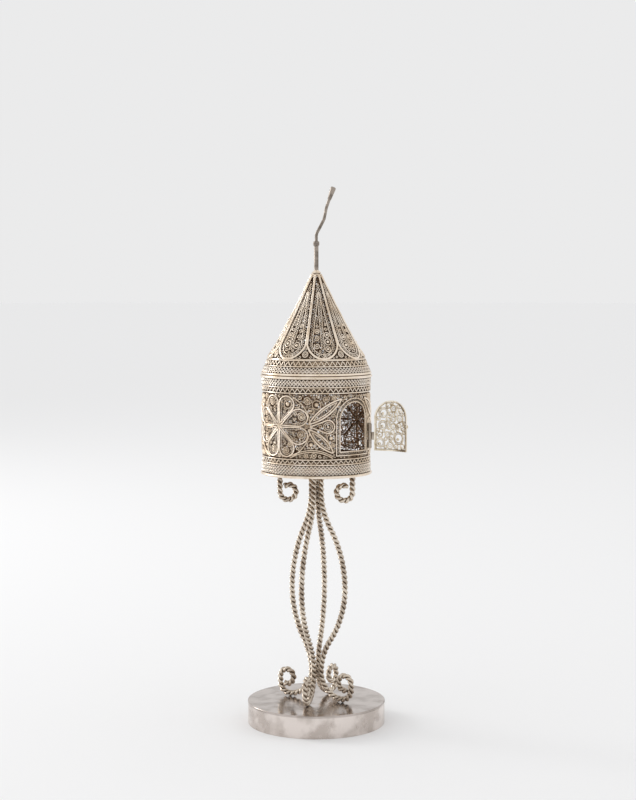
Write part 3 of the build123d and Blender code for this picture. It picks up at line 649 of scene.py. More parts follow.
@dataclass
class WireWork:
    """Wires, beads and plates that are soldered into one piece."""

    name: str
    points: list[np.ndarray] = field(default_factory=list)
    faces: list[np.ndarray] = field(default_factory=list)
    count: int = 0

    def wire(self, path: np.ndarray, normal: np.ndarray, gauge: Gauge, closed: bool = False) -> None:
        """Add a wire along a path.

        Args:
            path: Points along the middle of the wire.
            normal: Outward direction at each point.
            gauge: Section of the wire, with one width or one for each point.
            closed: Whether the wire is a loop.
        """
        run = headings(path, closed)
        side = unit(np.cross(run, normal))
        over = np.cross(side, run)
        sides = gauge.sides
        turn = np.arange(sides) * FULL_TURN / sides + math.pi / sides
        width = np.broadcast_to(np.asarray(gauge.across, dtype=float), len(path))
        ring = (
            side[:, None, :] * (width[:, None] * np.cos(turn)[None, :])[..., None]
            + over[:, None, :] * (np.sin(turn) * gauge.deep)[None, :, None]
        )
        body = path[:, None, :] + ring
        total = len(path)
        index = np.arange(total * sides).reshape(total, sides)
        ahead = np.roll(index, -1, axis=0) if closed else index[1:]
        here = index if closed else index[:-1]
        self._add(body.reshape(-1, 3), ring_faces(here, ahead))
        if closed:
            return
        for end, way in ((0, -1.0), (total - 1, 1.0)):
            tip = path[end] + run[end] * way * width[end] * 0.6
            rim = body[end] if way > 0 else body[end][::-1]
            self._add(np.vstack((rim, tip[None, :])), fan_faces(np.arange(sides), sides))

    def bead(self, centre: np.ndarray, normal: np.ndarray, radius: float, squash: float) -> None:
        """Add a small round grain.

        Args:
            centre: Middle of the grain.
            normal: Outward direction.
            radius: Radius of the grain.
            squash: Depth of the grain as a share of its width.
        """
        helper = np.array((0.0, 0.0, 1.0)) if abs(normal[2]) < 0.9 else np.array((1.0, 0.0, 0.0))
        right = np.cross(helper, normal)
        right = right / np.linalg.norm(right)
        up = np.cross(normal, right)
        rows, around = 5, 8
        tilt = np.linspace(-math.pi / 2, math.pi / 2, rows + 2)[1:-1]
        turn = np.arange(around) * FULL_TURN / around
        belt = (
            right[None, None, :] * (np.cos(tilt)[:, None] * np.cos(turn)[None, :])[..., None]
            + up[None, None, :] * (np.cos(tilt)[:, None] * np.sin(turn)[None, :])[..., None]
            + normal[None, None, :] * (np.sin(tilt)[:, None] * squash * np.ones(around)[None, :])[..., None]
        ) * radius
        poles = np.vstack((-normal * squash * radius, normal * squash * radius))
        index = np.arange(rows * around).reshape(rows, around)
        low, high = rows * around, rows * around + 1
        under = fan_faces(index[0], low)[:, (1, 0, 2, 3)]
        above = fan_faces(index[-1], high)
        faces = np.vstack((ring_faces(index[:-1], index[1:]), under, above))
        self._add(np.vstack((belt.reshape(-1, 3), poles)) + centre, faces)

    def _add(self, points: np.ndarray, faces: np.ndarray) -> None:
        """Store points and the faces between them.

        Args:
            points: The points.
            faces: Corners of each face, counted from the first of these points.
        """
        self.points.append(points)
        self.faces.append(faces + self.count)
        self.count += len(points)

    def piece(
        self, finish: SilverFinish, carrier: Carrier, slot: str, stands_for: tuple[str, ...]
    ) -> bpy.types.Object:
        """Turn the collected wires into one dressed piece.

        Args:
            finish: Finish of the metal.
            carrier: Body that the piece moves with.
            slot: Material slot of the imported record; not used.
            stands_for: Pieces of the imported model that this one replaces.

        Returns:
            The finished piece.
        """
        points = np.vstack(self.points) * MM
        faces = np.vstack(self.faces)
        corners = np.where(faces[:, 2] == faces[:, 3], 3, 4)
        keep = np.ones(faces.shape, dtype=bool)
        keep[corners == 3, 3] = False
        mesh = bpy.data.meshes.new(self.name)
        mesh.vertices.add(len(points))
        mesh.vertices.foreach_set("co", points.astype(np.float32).ravel())
        mesh.loops.add(int(corners.sum()))
        mesh.loops.foreach_set("vertex_index", faces[keep].astype(np.int32))
        mesh.polygons.add(len(faces))
        starts = np.concatenate(([0], np.cumsum(corners)[:-1]))
        mesh.polygons.foreach_set("loop_start", starts.astype(np.int32))
        mesh.polygons.foreach_set("use_smooth", np.ones(len(faces), dtype=bool))
        mesh.update(calc_edges=True)
        mesh.validate()
        mesh.materials.append(finish.material())
        piece = bpy.data.objects.new(self.name, mesh)
        bpy.context.scene.collection.objects.link(piece)
        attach(piece, carrier.value)
        if stands_for:
            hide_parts(*stands_for)
        log.info("%s: %d faces", self.name, len(faces))
        return piece


@dataclass
class SurfaceWork(WireWork):
    """Wirework whose patterns are drawn on a turned surface."""

    surface: TurnedSurface = field(kw_only=True)

    def drawn(self, bearing: np.ndarray, height: np.ndarray, gauge: Gauge, closed: bool = False) -> None:
        """Add a wire given by bearings and levels."""
        path, normal = self.surface.place(bearing, height, gauge.lift)
        self.wire(path, normal, gauge, closed)

    def pressed(self, middle: float, flat: np.ndarray, gauge: Gauge, closed: bool = False) -> None:
        """Add a wire that is drawn flat and pressed straight on the surface at a bearing."""
        self.drawn(*self.surface.facing(middle, flat), gauge, closed)

    def wrapped(
        self, spot: Point, flat: np.ndarray, reach: float, gauge: Gauge, closed: bool = False
    ) -> None:
        """Add a wire that is drawn flat round a spot and wrapped round the axis.

        Args:
            spot: Bearing and level of the middle of the pattern.
            flat: Points of the wire, measured from the spot.
            reach: Radius that the pattern is wrapped at.
            gauge: Section of the wire.
            closed: Whether the wire is a loop.
        """
        bearing, level = spot
        self.drawn(bearing + np.degrees(flat[:, 0] / reach), level + flat[:, 1], gauge, closed)

    def grain(self, bearing: float, height: float, lift: float, radius: float) -> None:
        """Add a round grain at a bearing and level."""
        spot, normal = self.surface.place(np.array([bearing]), np.array([height]), lift)
        self.bead(spot[0], normal[0], radius, 0.8)

    def round_wire(self, level: float, gauge: Gauge, steps: int = 180) -> None:
        """Add a plain wire that runs all the way round."""
        self.drawn(np.linspace(0.0, 360.0, steps, endpoint=False), np.full(steps, level), gauge, True)

    def round_row(self, low: float, high: float, swing_count: int, gauge: Gauge) -> None:
        """Add a crimped wire that runs all the way round.

        Args:
            low: Lowest level of the wire.
            high: Highest level of the wire.
            swing_count: Number of full swings round the axis.
            gauge: Section of the wire.
        """
        steps = np.linspace(0.0, 1.0, swing_count * 8, endpoint=False)
        saw = np.abs(((steps * swing_count) % 1.0) * 2 - 1)
        eased = np.clip((saw - 0.5) * 1.12 + 0.5, 0.0, 1.0)
        self.drawn(steps * 360.0, low + (high - low) * eased, gauge, True)

    def strip(self, low: float, high: float, lift: float) -> None:
        """Add a plain strip of sheet that runs all the way round.

        Args:
            low: Lower edge of the strip.
            high: Upper edge of the strip.
            lift: Distance of the strip from the surface.
        """
        half = (high - low) / 2 / math.cos(math.pi / 4)
        self.round_wire((low + high) / 2, Gauge(half, 0.1, lift, 4), 144)

    def braid(self, low: float, high: float, rows: int, swing_count: int, lift: float) -> None:
        """Add rows of tight crimped wire with a plain wire between them.

        Args:
            low: Lower edge of the band.
            high: Upper edge of the band.
            rows: Number of rows.
            swing_count: Number of swings round the axis in a row.
            lift: Distance of the rows from the surface.
        """
        depth = (high - low) / rows
        crimped, plain = Gauge(0.17, 0.22, lift, 5), Gauge(0.1, 0.16, lift + 0.06)
        for row in range(rows):
            self.round_row(low + row * depth + 0.1, low + (row + 1) * depth - 0.1, swing_count, crimped)
            if row:
                self.round_wire(low + row * depth, plain)

    def fill_cell(
        self, spot: Point, radius: float, reach: float, kind: Cell, dice: random.Random, lift: float
    ) -> None:
        """Fill one round cell with a coil of wire, or with a ring that is open or holds a grain.

        Args:
            spot: Bearing and level of the middle of the cell.
            radius: Radius of the cell.
            reach: Radius of the surface there.
            kind: What the cell holds.
            dice: Source of the small differences between cells.
            lift: Distance of the wires from the surface.
        """
        start = dice.uniform(0.0, FULL_TURN)
        width = min(0.19, radius * 0.27)
        gauge = Gauge(width, 0.26, lift)
        if kind is Cell.SPIRAL:
            coil = spiral(radius - width * 0.5, width * 2.9, start, dice.choice((-1.0, 1.0)))
            self.wrapped(spot, coil, reach, gauge)
            if radius > 1.1:
                self.grain(*spot, lift + 0.1, 0.36)
            return
        self.wrapped(spot, circle(radius - width * 0.7), reach, gauge, True)
        if kind is Cell.RING_AND_GRAIN:
            self.grain(*spot, lift, max(0.18, radius * 0.5))


def net_ring(radius: float) -> np.ndarray:
    """Flat ring of the dark net behind the other wires, which paints shade into the gaps."""
    return circle(max(radius - 0.14, 0.06), step=0.34)


@dataclass
class RoundBase:
    """Round base of plain sheet: a top plate, a rim and a floor."""

    plates: tuple[str, ...] = ("base_top_plate", "base_floor_plate")
    rim: str = "base_rim_band"

    def dress(self) -> None:
        """Give the sheets their finishes: the plates darker as painted shade and the rim lighter as painted
        light, copies of one sheet silver.
        """
        for node in self.plates:
            dress(node, SHADED_PLATE)
        dress(self.rim, LIT_RIM_SHEET)


@dataclass
class FlatRun:
    """A line of arcs and straight runs drawn in an upright plane."""

    at: Point
    heading: float
    points: list[Point] = field(default_factory=list)

    def bend(self, radius: float, turn: float) -> "FlatRun":
        """Go on along an arc.

        Args:
            radius: Radius of the arc.
            turn: Angle in radians, positive to the left.

        Returns:
            The same line.
        """
        hand = 1.0 if turn > 0 else -1.0
        middle = (
            self.at[0] - hand * radius * math.sin(self.heading),
            self.at[1] + hand * radius * math.cos(self.heading),
        )
        start = self.heading - hand * math.pi / 2
        run = arc(middle, radius, start, start + turn)
        self.points.extend((float(x), float(y)) for x, y in run)
        self.at = self.points[-1]
        self.heading += turn
        return self

    def straight(self, length: float) -> "FlatRun":
        """Go on straight ahead.

        Args:
            length: Length of the run.

        Returns:
            The same line.
        """
        end = (self.at[0] + length * math.cos(self.heading), self.at[1] + length * math.sin(self.heading))
        self.points.extend((self.at, end))
        self.at = end
        return self


@dataclass
class TwistedLeg:
    """A leg of two strands twisted together, with a curled foot and for some a curl under the drum."""

    name: str
    bow_direction: float
    bow_radius: float
    foot_direction: float
    scroll_direction: float | None
    neck_radius: float = 1.64
    bow_height: float = 44.0
    lower_neck: float = 16.325
    upper_neck: float = 75.8
    neck_share: float = 0.38
    drum_floor: float = 83.4
    scroll_start: float = 79.375
    strand: Gauge = Gauge(0.53, 0.53, sides=8)
    strand_offset: float = 0.485
    pitch: float = -3.3

    def _lifted(self, run: FlatRun, direction: float) -> np.ndarray:
        """Set a flat line up in its upright plane.

        Args:
            run: The flat line.
            direction: Direction of the plane in degrees.

        Returns:
            Points of the line.
        """
        flat = np.array(run.points)
        turn = math.radians(direction)
        bow = math.radians(self.bow_direction)
        neck = (self.neck_radius * math.cos(bow), self.neck_radius * math.sin(bow))
        return np.column_stack(
            (neck[0] + flat[:, 0] * math.cos(turn), neck[1] + flat[:, 0] * math.sin(turn), flat[:, 1])
        )

    def _foot(self) -> FlatRun:
        """Flat line of the foot from the lower neck down to the inside of its curl.

        Returns:
            The flat line.
        """
        foot = FlatRun((0.0, self.lower_neck), -math.pi / 2)
        foot.bend(8.0, math.radians(90)).bend(3.4, math.radians(90)).straight(2.0)
        return foot.bend(2.4, math.radians(292))

    def _bow(self) -> FlatRun:
        """Flat line of the bow from the lower neck up.

        Returns:
            The flat line.
        """
        depth = self.bow_radius - self.neck_radius
        lower_rise = self.bow_height - self.lower_neck
        upper_rise = self.upper_neck - self.bow_height
        lower_turn = 2 * math.atan(depth / lower_rise)
        upper_turn = 2 * math.atan(depth / upper_rise)
        lower = lower_rise / math.sin(lower_turn)
        upper = upper_rise / math.sin(upper_turn)
        bow = FlatRun((0.0, self.lower_neck), math.pi / 2)
        bow.bend(lower * self.neck_share, -lower_turn).bend(lower * (1 - self.neck_share), lower_turn)
        bow.bend(upper * (1 - self.neck_share), upper_turn).bend(upper * self.neck_share, -upper_turn)
        top = self.drum_floor if self.scroll_direction is None else self.scroll_start
        return bow.straight(top - self.upper_neck)

    def _scroll(self) -> FlatRun:
        """Flat line of the curl under the drum.

        Returns:
            The flat line.
        """
        curl = FlatRun((0.0, self.scroll_start), math.pi / 2)
        curl.bend(3.0, math.radians(-90)).straight(5.26).bend(2.0, math.radians(-90)).straight(4.975)
        return curl.bend(2.6, math.radians(-180)).bend(2.3, math.radians(-124))

    def _path(self) -> np.ndarray:
        """Middle line of the leg from the foot curl up.

        Returns:
            Evenly spaced points.
        """
        parts = [self._lifted(self._foot(), self.foot_direction)[::-1]]
        parts.append(self._lifted(self._bow(), self.bow_direction))
        if self.scroll_direction is not None:
            parts.append(self._lifted(self._scroll(), self.scroll_direction))
        return spaced(np.vstack(parts), 0.26)

    def build(self) -> None:
        """Twist the two strands along the middle line."""
        path = self._path()
        run = headings(path)
        side = np.zeros_like(path)
        side[0] = np.cross(run[0], (0.3, 0.9, 0.2))
        for step in range(len(path)):
            source = side[max(step - 1, 0)]
            carried = source - run[step] * float(np.dot(source, run[step]))
            side[step] = carried / np.linalg.norm(carried)
        over = np.cross(run, side)
        length = run_lengths(path)
        work = WireWork(self.name + "_strands")
        for strand in range(2):
            turn = length / self.pitch * FULL_TURN + strand * math.pi
            out = side * np.cos(turn)[:, None] + over * np.sin(turn)[:, None]
            work.wire(path + out * self.strand_offset, out, self.strand)
        work.piece(ROPE, Carrier.TOWER, "leg_silver", (self.name,))


@dataclass
class RosettePanel:
    """A rosette of eight petals, each framed in plain wire with a crimped wire inside."""

    name: str
    bearing: float
    level: float
    surface: TurnedSurface
    radius: float = 10.2
    petals: int = 8
    gap_angle: float = 0.7
    hub: float = 0.7
    boss_rings: Point = (0.7, 0.36)
    frame_wire: Gauge = Gauge(0.26, 0.31, 0.03, 8)
    crimped_wire: Gauge = Gauge(0.12, 0.2, -0.16, 5)
    middle_wire: Gauge = Gauge(0.13, 0.18, -0.2, 5)
    boss_wire: Gauge = Gauge(0.2, 0.28, 0.02)

    def _round_about(self, flat: np.ndarray) -> list[np.ndarray]:
        """Repeat a flat shape for each petal.

        Args:
            flat: Shape along the line to the right of the middle.

        Returns:
            The shape turned to each petal.
        """
        shapes = []
        for petal in range(self.petals):
            turn = math.radians(180 / self.petals + petal * 360 / self.petals)
            spin = np.array(((math.cos(turn), math.sin(turn)), (-math.sin(turn), math.cos(turn))))
            shapes.append(flat @ spin + np.array((0.0, self.level)))
        return shapes

    def petal_outlines(self) -> list[np.ndarray]:
        """Flat outlines of the petals.

        Returns:
            Points of each closed outline.
        """
        half = math.radians(180 / self.petals - self.gap_angle)
        middle = self.radius / (1 + math.sin(half))
        side = middle * math.cos(half)
        corner = (side * math.cos(half), side * math.sin(half))
        crown = arc_through((corner[0], -corner[1]), (self.radius, 0.0), corner)
        shape = spaced(np.vstack((np.array([(self.hub, 0.0)]), crown)), 0.28, True)
        return self._round_about(inset(shape, 0.08))

    def petal_middles(self) -> list[np.ndarray]:
        """Flat crimped lines down the middle of the petals, wider towards the round end.

        Returns:
            Corner points of each line.
        """
        reach = np.arange(1.95, 6.2, 0.27)
        swing = swings(len(reach)) * np.clip(0.4 * reach - 1.1, 0.1, 0.85)
        return self._round_about(np.column_stack((reach, swing)))

    def walls(self) -> list[Track]:
        """Wires that cells of the ground keep clear of.

        Returns:
            Bearings and levels along each wire.
        """
        shapes = [spaced(outline, WIRE_STEP, True) for outline in self.petal_outlines()]
        shapes += self.petal_middles()
        return [self.surface.facing(self.bearing, shape) for shape in shapes]

    def build(self) -> None:
        """Make the frames, the crimped wires and the boss."""
        work = SurfaceWork(self.name + "_wires", surface=self.surface)
        for outline in self.petal_outlines():
            work.pressed(self.bearing, spaced(outline, WIRE_STEP, True), self.frame_wire, True)
            crimp = zigzag(inset(outline, 0.62), 0.16, 0.66, True)
            work.pressed(self.bearing, crimp, self.crimped_wire, True)
        for line in self.petal_middles():
            work.pressed(self.bearing, line, self.middle_wire)
        for reach in self.boss_rings:
            work.pressed(self.bearing, circle(reach, (0.0, self.level)), self.boss_wire, True)
        work.grain(self.bearing, self.level, 0.0, 0.3)
        work.piece(FRAMING, Carrier.TOWER, "drum_silver", (self.name,))


@dataclass
class LeafPanel:
    """Two pointed leaves that spread from one point, with a ring and a grain between them."""

    name: str
    bearing: float
    side: float
    level: float
    surface: TurnedSurface
    near: float = 4.3
    upper_end: Point = (7.0, 9.0)
    lower_end: Point = (4.2, -8.6)
    gap: float = 0.5
    width: float = 3.2
    ring_radius: float = 2.2
    ring_place: float = 2.2
    frame_wire: Gauge = Gauge(0.29, 0.31, 0.03, 8)
    second_wire: Gauge = Gauge(0.2, 0.16, -0.1)
    crimped_wire: Gauge = Gauge(0.11, 0.16, -0.2, 5)
    drop_wire: Gauge = Gauge(0.27, 0.31, 0.03, 8)
    ring_wire: Gauge = Gauge(0.15, 0.2, -0.1)

    def _ends(self) -> list[tuple[np.ndarray, np.ndarray]]:
        """Meeting point and tip of each leaf.

        Returns:
            The two points for the upper and for the lower leaf.
        """
        return [
            (np.array((-self.side * self.near, way * self.gap)), np.array((self.side * across, rise)))
            for way, (across, rise) in ((1.0, self.upper_end), (-1.0, self.lower_end))
        ]

    def leaf_outlines(self) -> list[np.ndarray]:
        """Flat outlines of the two leaves.

        Returns:
            Points of each closed outline.
        """
        outlines = []
        for start, end in self._ends():
            run = (end - start) / np.linalg.norm(end - start)
            belly = np.array((-run[1], run[0])) * self.width / 2
            middle = (start + end) / 2
            there = arc_through(tuple(start), tuple(middle - belly), tuple(end))
            back = arc_through(tuple(end), tuple(middle + belly), tuple(start))
            outline = np.vstack((there[:-1], back[:-1]))
            outlines.append(inset(outline, 0.22) + np.array((0.0, self.level)))
        return outlines

    def leaf_lines(self) -> list[np.ndarray]:
        """Flat middle lines of the two leaves."""
        share = np.linspace(0.14, 0.86, 40)[:, None]
        return [start + (end - start) * share + np.array((0.0, self.level)) for start, end in self._ends()]

    def ring_line(self, radius: float) -> np.ndarray:
        """Flat circle between the leaves."""
        return circle(radius, (self.side * self.ring_place, self.level))

    def drop_outline(self) -> np.ndarray:
        """Flat outline of the drop that runs from the meeting point of the leaves round the ring.

        Returns:
            Points of the closed outline.
        """
        reach = self.ring_radius - 0.15
        point = -self.near + 0.8
        lean = math.acos(reach / (self.ring_place - point))
        round_end = arc((self.ring_place, 0.0), reach, -math.pi + lean, math.pi - lean)
        outline = spaced(np.vstack((np.array([[point, 0.0]]), round_end)), 0.25, True)
        return outline * np.array((self.side, 1.0)) + np.array((0.0, self.level))

    def walls(self) -> list[Track]:
        """Wires that cells of the ground keep clear of.

        Returns:
            Bearings and levels along each wire.
        """
        shapes = [spaced(outline, WIRE_STEP, True) for outline in self.leaf_outlines()]
        shapes += self.leaf_lines() + [self.drop_outline(), self.ring_line(1.5), self.ring_line(0.6)]
        return [self.surface.facing(self.bearing, shape) for shape in shapes]

    def build(self) -> None:
        """Make the leaves, their crimped middles and the ring."""
        work = SurfaceWork(self.name + "_wires", surface=self.surface)
        for outline, line in zip(self.leaf_outlines(), self.leaf_lines()):
            work.pressed(self.bearing, spaced(outline, WIRE_STEP, True), self.frame_wire, True)
            work.pressed(self.bearing, spaced(inset(outline, 0.62), WIRE_STEP, True), self.second_wire, True)
            even = spaced(line, 0.26)
            share = np.linspace(-1.0, 1.0, len(even))
            swing = swings(len(even)) * (0.52 - 0.4 * share * share)
            work.pressed(self.bearing, even + sideways(even) * swing[:, None], self.crimped_wire)
        work.pressed(self.bearing, self.drop_outline(), self.drop_wire, True)
        for reach in (1.45, 0.95):
            work.pressed(self.bearing, self.ring_line(reach), self.ring_wire, True)
        spot = self.surface.facing(self.bearing, np.array([[self.side * self.ring_place, self.level]]))
        work.grain(float(spot[0][0]), self.level, 0.0, 0.42)
        work.piece(FRAMING, Carrier.TOWER, "drum_silver", (self.name,))


@dataclass
class Doorway:
    """Frame of the doorway: two plain wires with a crimped wire between them."""

    surface: TurnedSurface
    half_width: float = 5.353
    bottom: float = 90.2
    top: float = 105.4
    rise: float = 5.6
    frame_width: float = 1.6
    outer_rise: float = 6.6
    inner_wire: Gauge = Gauge(0.24, 0.3)
    outer_wire: Gauge = Gauge(0.22, 0.3)
    crimped_wire: Gauge = Gauge(0.13, 0.18, -0.1, 5)

    def _edge(self, share: float) -> tuple[float, float, float]:
        """Growth, rise of the crown and half width of a line of the frame.

        Args:
            share: 0 at the opening and 1 at the outer edge.

        Returns:
            The three sizes.
        """
        grow = self.frame_width * share
        return grow, self.rise + (self.outer_rise - self.rise) * share, self.half_width + grow

    def outline(self, share: float) -> np.ndarray:
        """Flat line of the frame between its opening and its outer edge.

        Args:
            share: 0 at the opening and 1 at the outer edge.

        Returns:
            Points of the closed line.
        """
        grow, rise, half = self._edge(share)
        low, high = self.bottom - grow, self.top + grow
        crown = arc_through((half, high - rise), (0.0, high), (-half, high - rise))
        return spaced(np.vstack((np.array(((-half, low), (half, low))), crown)), WIRE_STEP, True)

    def walls(self) -> list[Track]:
        """Wires that cells of the ground keep clear of, as bearings and levels."""
        return [self.surface.facing(0.0, self.outline(share)) for share in (0.2, 0.5, 0.9)]

    def holds(self, bearing: np.ndarray, height: np.ndarray, share: float = 1.0) -> np.ndarray:
        """Which points lie inside a line of the frame.

        Args:
            bearing: Bearings of the points.
            height: Levels of the points.
            share: 0 for the opening and 1 for the outer edge.

        Returns:
            True for each point inside.
        """
        grow, rise, half = self._edge(share)
        across = self.surface.radius(height) * np.sin(np.radians(bearing))
        crown = self.top + grow - rise + rise * np.sqrt(np.clip(1 - (across / half) ** 2, 0, 1))
        near = (np.abs(bearing) < 60) & (np.abs(across) < half)
        return near & (height > self.bottom - grow) & (height < crown)

    def build(self) -> None:
        """Make the two wires and the crimped wire between them."""
        work = SurfaceWork("door_frame_wires", surface=self.surface)
        work.pressed(0.0, self.outline(0.16), self.inner_wire, True)
        work.pressed(0.0, self.outline(0.86), self.outer_wire, True)
        work.pressed(0.0, zigzag(self.outline(0.5), 0.36, 0.85, True), self.crimped_wire, True)
        work.piece(FRAMING, Carrier.TOWER, "drum_silver", ("door_frame",))


@dataclass
class Drum:
    """The openwork drum: bands, zigzag rows, panels and the ground of coiled wire between them."""

    surface: TurnedSurface
    rosettes: tuple[RosettePanel, ...]
    leaves: tuple[LeafPanel, ...]
    doorway: Doorway
    seam: float = -113.0
    loose: Point = (62.0, 122.0)
    front: float = 100.0
    arch_radius: float = 10.6
    net_radius: float = 17.0
    net_wire: Gauge = Gauge(0.27, 0.15, -0.5, 4)
    loose_net_wire: Gauge = Gauge(0.17, 0.15, -0.5, 4)
    zigzag_wire: Gauge = Gauge(0.18, 0.2, -0.12, 5)
    arch_wire: Gauge = Gauge(0.19, 0.26, 0.06)
    ground_lift: float = -0.22
    grain_lift: float = -0.25
    band_lift: float = -0.06
    strip_lift: float = -0.5
    lining_lift: float = -0.36
    band_swings: int = 88
    zigzag_swings: int = 62
    net_cells: Point = (0.22, 1.0)
    net_seed: int = 19
    ground_cells: Point = (0.15, 1.5)
    ground_seed: int = 7
    coil_seed: int = 11
    smallest_coil: float = 0.3
    ring_nodes: tuple[str, ...] = (
        "drum_foot_wire", "drum_rim_wire", "lower_ring_wire",
        "panel_foot_wire", "panel_top_wire", "upper_ring_wire",
    )

    def build(self) -> None:
        """Make all the wirework of the drum."""
        for panel in (*self.rosettes, *self.leaves, self.doorway):
            panel.build()
        for node, rows in (("lower_ribbed_band", 3), ("upper_ribbed_band", 2)):
            work = self._work(node + "_wires")
            work.braid(*node_span(node), rows, self.band_swings, self.band_lift)
            work.piece(BANDING, Carrier.TOWER, "drum_silver", (node,))
        for node in ("lower_zigzag", "upper_zigzag"):
            low, high = node_span(node)
            work = self._work(node + "_wires")
            work.round_row(low + 0.1, high - 0.1, self.zigzag_swings, self.zigzag_wire)
            work.piece(FRAMING, Carrier.TOWER, "drum_silver", (node,))
        for node in self.ring_nodes:
            dress(node, FRAMING)
        # Painted shade: the drum floor and the strips behind the zigzag rows take a dark colour for the
        # shade inside the drum.
        dress("drum_floor", SHADE_BACKING)
        strips = self._work("drum_wall_shade_strips")
        for foot, head in (("drum_foot_wire", "panel_foot_wire"), ("panel_top_wire", "drum_rim_wire")):
            strips.strip(node_span(foot)[0] + 0.2, node_span(head)[1] - 0.15, self.strip_lift)
        strips.piece(SHADE_BACKING, Carrier.TOWER, "drum_silver", ())
        linings = self._work("drum_band_linings")
        for node in ("lower_ribbed_band", "upper_ribbed_band"):
            linings.strip(*node_span(node), self.lining_lift)
        linings.piece(BANDING, Carrier.TOWER, "drum_silver", ())
        self._net()
        self._ground()

    def _work(self, name: str) -> SurfaceWork:
        """Empty wirework on the wall of the drum."""
        return SurfaceWork(name, surface=self.surface)

    def _is_loose(self, bearing: float) -> bool:
        """Whether the wirework at a bearing is the more open kind."""
        return self.loose[0] < bearing < self.loose[1]

    def _arches(self) -> list[Track]:
        """Long curved wires that divide the ground round the rosettes and under the leaves.

        Returns:
            Bearings and levels along each wire.
        """
        lines = []
        foot = node_span("panel_foot_wire")[1]
        head = node_span("panel_top_wire")[0]
        middle = (foot + head) / 2
        turn = np.linspace(math.radians(-62), math.radians(62), 60)
        for panel in self.rosettes:
            for way in (1.0, -1.0):
                across = way * self.arch_radius * np.cos(turn) * 1.03
                height = middle + self.arch_radius * np.sin(turn)
                keep = (height > foot + 0.2) & (height < head - 0.2)
                lines.append((panel.bearing + np.degrees(across[keep] / DRUM_RADIUS), height[keep]))
        turn = np.linspace(-33.0, 12.0, 90)
        away = (turn + 9.0) / np.where(turn < -9.0, 24.0, 21.0)
        for panel in self.leaves:
            for rise in (0.3, 0.85):
                lines.append((panel.bearing + turn * panel.side, foot + rise + 2.0 * (1 - away * away)))
        return lines

    def _net(self) -> None:
        """Lay a net of small rings behind the panels, coloured dark as painted shade in the gaps."""
        rng = np.random.default_rng(self.net_seed)
        foot = node_span("panel_foot_wire")[0]
        head = node_span("panel_top_wire")[1]
        scale = math.radians(1.0) * self.net_radius
        places = np.column_stack((rng.uniform(-180.0, 180.0, 15000), rng.uniform(foot, head, 15000)))
        places = places[~self.doorway.holds(places[:, 0], places[:, 1], 0.1)]
        opening = np.column_stack(self.surface.facing(0.0, self.doorway.outline(0.1)))
        walls = np.vstack((opening, fence(-180.0, 180.0, foot, head)))
        stretch = np.array((scale, 1.0))
        work = self._work("drum_shade_net")
        for x, y, radius in packed_rounds(places * stretch, walls * stretch, self.net_cells, 0.0, 2600):
            wire = self.loose_net_wire if self._is_loose(x / scale) else self.net_wire
            work.wrapped((x / scale, y), net_ring(radius), self.net_radius, wire, True)
        work.piece(SHADE_NET, Carrier.TOWER, "drum_silver", ())

    def _ground(self) -> None:
        """Fill the free ground of the panels with coils and ringed grains."""
        rng = np.random.default_rng(self.ground_seed)
        foot = node_span("panel_foot_wire")[1]
        head = node_span("panel_top_wire")[0]
        scale = math.radians(1.0) * DRUM_RADIUS
        tracks = []
        for panel in (*self.rosettes, *self.leaves, self.doorway):
            tracks += panel.walls()
        tracks += self._arches()
        walls = [np.column_stack(((bearing - self.seam) % 360.0, height)) for bearing, height in tracks]
        walls = np.vstack((*walls, fence(0.0, 360.0, foot, head)))
        places = np.column_stack((rng.uniform(0.0, 360.0, 26000), rng.uniform(foot, head, 26000)))
        free = ~self.doorway.holds((places[:, 0] + self.seam + 180.0) % 360.0 - 180.0, places[:, 1])
        stretch = np.array((scale, 1.0))
        cells = packed_rounds(places[free] * stretch, walls * stretch, self.ground_cells, 0.26, 3400)
        front, back = self._work("drum_filigree_front"), self._work("drum_filigree_back")
        dice = random.Random(self.coil_seed)
        for x, y, radius in cells:
            bearing = (x / scale + self.seam + 180.0) % 360.0 - 180.0
            work = front if abs(bearing) < self.front else back
            kind = Cell.RING_AND_GRAIN if radius > 0.62 and dice.random() < 0.3 else Cell.SPIRAL
            if self._is_loose(bearing) and dice.random() < 0.4:
                kind = Cell.OPEN_RING
            if radius < self.smallest_coil:
                work.grain(bearing, y, self.grain_lift, radius + 0.03)
            else:
                work.fill_cell((bearing, y), radius, DRUM_RADIUS, kind, dice, self.ground_lift)
        for bearing, height in self._arches():
            outside = ~self.doorway.holds(bearing, height)
            bearing, height = bearing[outside], height[outside]
            if len(bearing) > 3:
                work = front if abs(float(bearing.mean())) < self.front else back
                work.drawn(bearing, height, self.arch_wire)
        front.piece(FILIGREE, Carrier.TOWER, "drum_silver", ("drum_wall",))
        back.piece(FILIGREE, Carrier.TOWER, "drum_silver", ())


